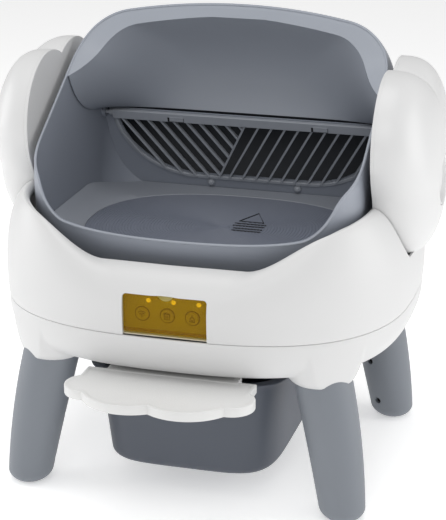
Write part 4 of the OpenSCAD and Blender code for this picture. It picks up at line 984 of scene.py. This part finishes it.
def legs():
    ring = arc_at((0, 0), 1, 0, 2 * np.pi, 121)[:-1]
    spin = 5 * ring[::3]
    screws = []
    for name, (sx, sy) in CORNERS.items():
        top = np.full(120, 215.0)
        for _ in range(20):
            p = (leg_axis(top) + leg_radius(top)[:, None] * ring) * (sx, sy)
            top = mix(top, underside(p, plan_share(p)) + 1.4, 0.5)
        rows = []
        for s in np.r_[np.linspace(0, 0.075, 10), np.linspace(0.075, 1, 50)[1:]]:
            z = mix(PAD_H, top, s)
            rows.append(with_z((leg_axis(z) + leg_radius(z)[:, None] * ring) * (sx, sy), z))
        obj = loop_object("leg_" + name + "_skin", rows, closed=False)
        face = math.radians(244 if sy > 0 else 195)
        way = np.array([math.cos(face), math.sin(face)])
        side = np.array([-way[1], way[0]])
        tools = []
        for z in (32.0, 98.0):
            seat = leg_axis(np.array(z)) + (leg_radius(np.array(z)) - 7) * way
            rows = []
            for along in (0, 14):
                rows.append(with_z((seat + way * along + spin[:, :1] * side) * (sx, sy), z + spin[:, 1]))
            tools.append(loop_object("screw_hole", rows, closed=False))
            at = (seat + 0.3 * way) * (sx, sy)
            screws.append(((at[0], at[1], z), (way[0] * sx, way[1] * sy, 0)))
        carve(obj, tools)
        show(obj, "base", LEG, ["leg_" + name], sharp=40)
    head = softened([(0.01, 0), (4, 0), (4, 1.6), (3.4, 2.5), (2.3, 2.5), (2.1, 1.2), (0.01, 1.1)], 1)
    show(copies("leg_screw_heads", head, screws, SCREW), "base", SCREW, ["leg_screws"])
    pad = softened([(0.01, 0), (10.6, 0), (12, 0.6), (12, 3.2), (11.6, 4), (0.01, 4)], 1)
    feet = [((sx * FOOT[0], sy * FOOT[1], 0), (0, 0, 1)) for sx, sy in CORNERS.values()]
    show(copies("foot_pad_set", pad, feet, BLACK), "base", BLACK, ["foot_pads"])


# Step
def cloud(inset):
    """Outline of the step: a straight back, two side lobes and two front lobes."""
    side_r, lobe_r, neck, root = 30 - inset, 70 - inset, 116 - inset, -226 - inset
    side, lobe = np.array([98.0, -281.0]), np.array([38.0, -271.0])
    d = np.linalg.norm(lobe - side)
    along = (side_r ** 2 - lobe_r ** 2 + d * d) / (2 * d)
    u = (lobe - side) / d
    across = math.sqrt(side_r ** 2 - along ** 2) * np.array([-u[1], u[0]])
    meet = side + u * along + across
    if meet[1] > side[1]:
        meet = side + u * along - across
    dx = neck - side[0]
    start = math.atan2(math.sqrt(side_r ** 2 - dx * dx), dx)
    first = arc_at(side, side_r, start, math.atan2(meet[1] - side[1], meet[0] - side[0]), 40)
    start = math.atan2(meet[1] - lobe[1], meet[0] - lobe[0])
    second = arc_at(lobe, lobe_r, start, math.atan2(-math.sqrt(lobe_r ** 2 - lobe[0] ** 2), -lobe[0]), 48)
    edge = np.linspace((neck, root), first[0], 12, endpoint=False)
    right = np.vstack([edge, first, second[1:]])
    return np.vstack([right, (right * (-1, 1))[-2::-1]])


def step():
    t, low = STEP_T, STEP_Z - STEP_T
    rows = [with_z(cloud(inset), low + up) for inset, up in (
        (8, 0), (1.4, 0), (0.4, 0.4), (0, 1.4), (0, t - 1.6), (0.35, t - 0.6), (1.1, t - 0.1), (2, t),
        (3.6, t), (4.4, t - 0.2), (4.9, t - 0.6), (5.3, t - 0.8), (9, t - 0.8))]
    plate = capped_object("step_plate_skin", rows)
    tongue = block("tongue", (-TONGUE_HALF, -227, low), (TONGUE_HALF, -150, STEP_Z - 1))
    riser = block("riser", (-TONGUE_HALF, PLAN_MID - 0.8 * PLAN_B, low), (TONGUE_HALF, -150, BASE_Z))
    skin = joined("step_plate_skin", [plate, tongue, riser])
    show(skin, "base", STEP, ["step_plate"], sharp=30)


# Bin
def waste_bin():
    half_w, half_d, n, rim_z, floor_z, taper, wall = 136.0, 165.0, 5.0, 183.0, 38.0, 14.0, 2.5
    t = even_turn(half_w, half_d, n, 280)
    base = oval(half_w, half_d, n, t)
    rim = np.where(base[:, 1] < 0, rim_z - 26 * (1 - ease((np.abs(base[:, 0]) - 26) / 44)), rim_z)
    middle = (0, -200 + half_d + 9)

    def ring(out, z):
        return with_z(oval(half_w + out, half_d + out, n, t) + middle, z)

    rows = [ring(-taper - 14 * (1 - math.sin(a)), floor_z + 14 * (1 - math.cos(a)))
            for a in np.radians(np.linspace(0, 90, 9))]
    rows += [ring(mix(-taper, -0.6, k), mix(floor_z + 14, rim - 4.2, k)) for k in np.linspace(0, 1, 12)[1:]]
    lip = ((0.2, -3.2), (1.0, -3), (7.6, -3), (8.7, -2.5), (9, -1.5), (8.7, -0.5), (7.6, 0), (-1.4, 0),
           (-2.3, -0.6), (-2.5, -2))
    rows += [ring(out, rim + up) for out, up in lip]
    rows += [ring(mix(-wall, -taper - wall, k), mix(rim - 2, 54.0, k)) for k in np.linspace(0, 1, 8)[1:]]
    rows += [ring(-taper - wall - 11 * (1 - math.sin(a)), floor_z + wall + 11 * (1 - math.cos(a)))
             for a in np.radians(np.linspace(90, 0, 6))]
    obj = loop_object("waste_bin_skin", rows, closed=False)
    show(obj, "bin", BIN, ["waste_bin"], sharp=40)


# Panel
def flap():
    high = WINDOW_Z + WINDOW_H
    notch = [(12 * math.sin(a), min(high + 5 - 12 * math.cos(a), high)) for a in np.linspace(1.14, -1.14, 20)]
    plate = prism("flap", arched(WINDOW_W / 2, 267.5, high, 8, notch), "y", FLAP_FACE, FLAP_FACE + 2.4)
    profile = ((1.5, -58.8), (1.5, -56.4), (2.1, -56.3), (2.1, 56.3), (1.5, 56.4), (1.5, 58.8))
    rod = loop_object("flap_rod", turned(profile, 32, "x", FLAP_HINGE), closed=False)
    show(joined("flap_clear", [plate, rod]), "flap", AMBER, ["panel_flap"])


def arc_line(cx, cz, r, a0, a1, count=14):
    return lay(arc_at((cx, cz), r, math.radians(a0), math.radians(a1), count), 0, "y")


def icon_lines(kind):
    """Generic marks: waves, a bin and a brush."""
    if kind == "left":
        return [arc_line(0, -3, r, 48, 132) for r in (2.0, 4.2, 6.4)] + [arc_line(0, -3, 0.3, 0, 300)]
    lines = [[(0, 5), (0, 1.4)], [(-1.8, 1.4), (1.8, 1.4), (3.4, -4), (-3.4, -4), (-1.8, 1.4)],
             [(-1.1, -4), (-0.7, -1.2)], [(1.1, -4), (0.7, -1.2)]]
    if kind == "middle":
        lines = [[(-3.4, 2.2), (-2.9, -4), (2.9, -4), (3.4, 2.2)], [(-1.1, 0.6), (-1.1, -2)],
                 [(-4.4, 2.6), (0, 4.6), (4.4, 2.6), (-4.4, 2.6)], [(1.1, 0.6), (1.1, -2)]]
    return [lay(line, 0, "y") for line in lines]


def buttons():
    face = TRAY_FACE - 2.5
    cap = [(0.01, 3.0), (8.75, 3.0), (8.75, 0.9), (8.45, 0.3), (7.8, 0), (7.2, 0.15), (0.01, 0.35)]
    lens = [(0.01, 1.6), (2.9, 1.6), (2.9, -0.6), (2.6, -1.3), (1.9, -1.9), (1.0, -2.3), (0.01, -2.4)]
    collars, lenses = [], []
    for kind, x in KEYS.items():
        rows = turned([(r, face + y) for r, y in cap], 72, "y", (x, KEY_Z))
        obj = loop_object("button_" + kind + "_cap", rows, closed=False)
        show(obj, "key_" + kind, PANEL, ["button_" + kind], sharp=40)
        lines = [line * (1.1, 1, 1.1) + (x, face + 0.1, KEY_Z) for line in icon_lines(kind)]
        strokes = [tube("stroke", line, 0.55, sides=8) for line in lines]
        show(joined("button_" + kind + "_icon", strokes), "key_" + kind, ICON, ())
        ring = arc_line(x, KEY_Z, 9.7, 0, 354, 60) + (0, TRAY_FACE - 0.2, 0)
        collars.append(tube("collar", ring, 0.55, closed=True, sides=8))
        rows = turned([(r, TRAY_FACE + y) for r, y in lens], 72, "y", (x + LENS_X, LENS_Z))
        lenses.append(loop_object("lens", rows, closed=False))
    show(joined("button_collars", collars), "base", ICON, ())
    show(joined("indicator_lens_set", lenses), "base", LENS, ["indicator_lenses"], sharp=50)


tub_lower()
tub_upper()
pod(-1)
pod(1)
drum()
hood()
litter_bed()
sieve()
legs()
step()
waste_bin()
flap()
buttons()

# Pieces shown as the frame has them
SHOWN = {
    INNER: "pivot_tower_left pivot_tower_right gearbox power_inlet shaft_left shaft_right",
    NYLON: "bush_left bush_right drive_pinion drive_gear",
    STEEL: "drive_motor step_screws shaft_clips",
    WHITE: "bin_rail_left bin_rail_right",
    PANEL: "panel_tray",
    BOARD: "control_board",
    DRUM: "sieve_frame",
    SIEVE: "sieve_stops",
}
for material, names in SHOWN.items():
    for node in names.split():
        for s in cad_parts[node].material_slots:
            s.material = material


# Floor, light and camera
def soft_light(name, place, aim, size, watts):
    lamp = bpy.data.lights.new(name, "AREA")
    lamp.shape = "RECTANGLE"
    lamp.size, lamp.size_y, lamp.energy = size, size, watts
    obj = placed(name, lamp)
    obj.location = place
    obj.rotation_euler = (Vector(aim) - Vector(place)).to_track_quat("-Z", "Y").to_euler()


floor_mesh = bpy.data.meshes.new("studio_floor")
floor_mesh.from_pydata([(-6, -6, 0), (6, -6, 0), (6, 6, 0), (-6, 6, 0)], [], [(0, 1, 2, 3)])
floor = placed("studio_floor", floor_mesh)
floor_white = finish_of("floor_white", (250, 250, 250), 0.7, 300, 0.02, 0.004)
put(floor_white.node_tree.nodes["Principled BSDF"], Emission_Color=(1, 1, 1, 1), Emission_Strength=0.38)
floor_mesh.materials.append(floor_white)

world = bpy.data.worlds.new("studio")
bpy.context.scene.world = world
world.use_nodes = True
put(world.node_tree.nodes["Background"], Color=(1, 1, 1, 1), Strength=0.45)
soft_light("left_soft", (-2.1, -0.3, 0.8), (0, 0, 0.35), 1.4, 16)
soft_light("right_soft", (2.1, 0.3, 0.7), (0, 0, 0.35), 1.4, 15)
soft_light("front_soft", (0.5, -2.6, 2.1), (0, 0, 0.4), 1.8, 24)
soft_light("top_soft", (0.0, -0.2, 2.6), (0, 0, 0.3), 1.8, 24)

AZIMUTH, ELEVATION = math.radians(15.83), math.radians(19.04)
view = bpy.data.cameras.new("photo_view")
view.lens, view.sensor_width = 123.76, 36
camera = placed("photo_view", view)
camera.location = (0.65832, -2.25996, 1.11126)
level = math.cos(ELEVATION)
ahead = Vector((-math.sin(AZIMUTH) * level, math.cos(AZIMUTH) * level, -math.sin(ELEVATION)))
camera.rotation_euler = ahead.to_track_quat("-Z", "Y").to_euler()
bpy.context.scene.camera = camera
bpy.context.scene.view_settings.view_transform = "Standard"
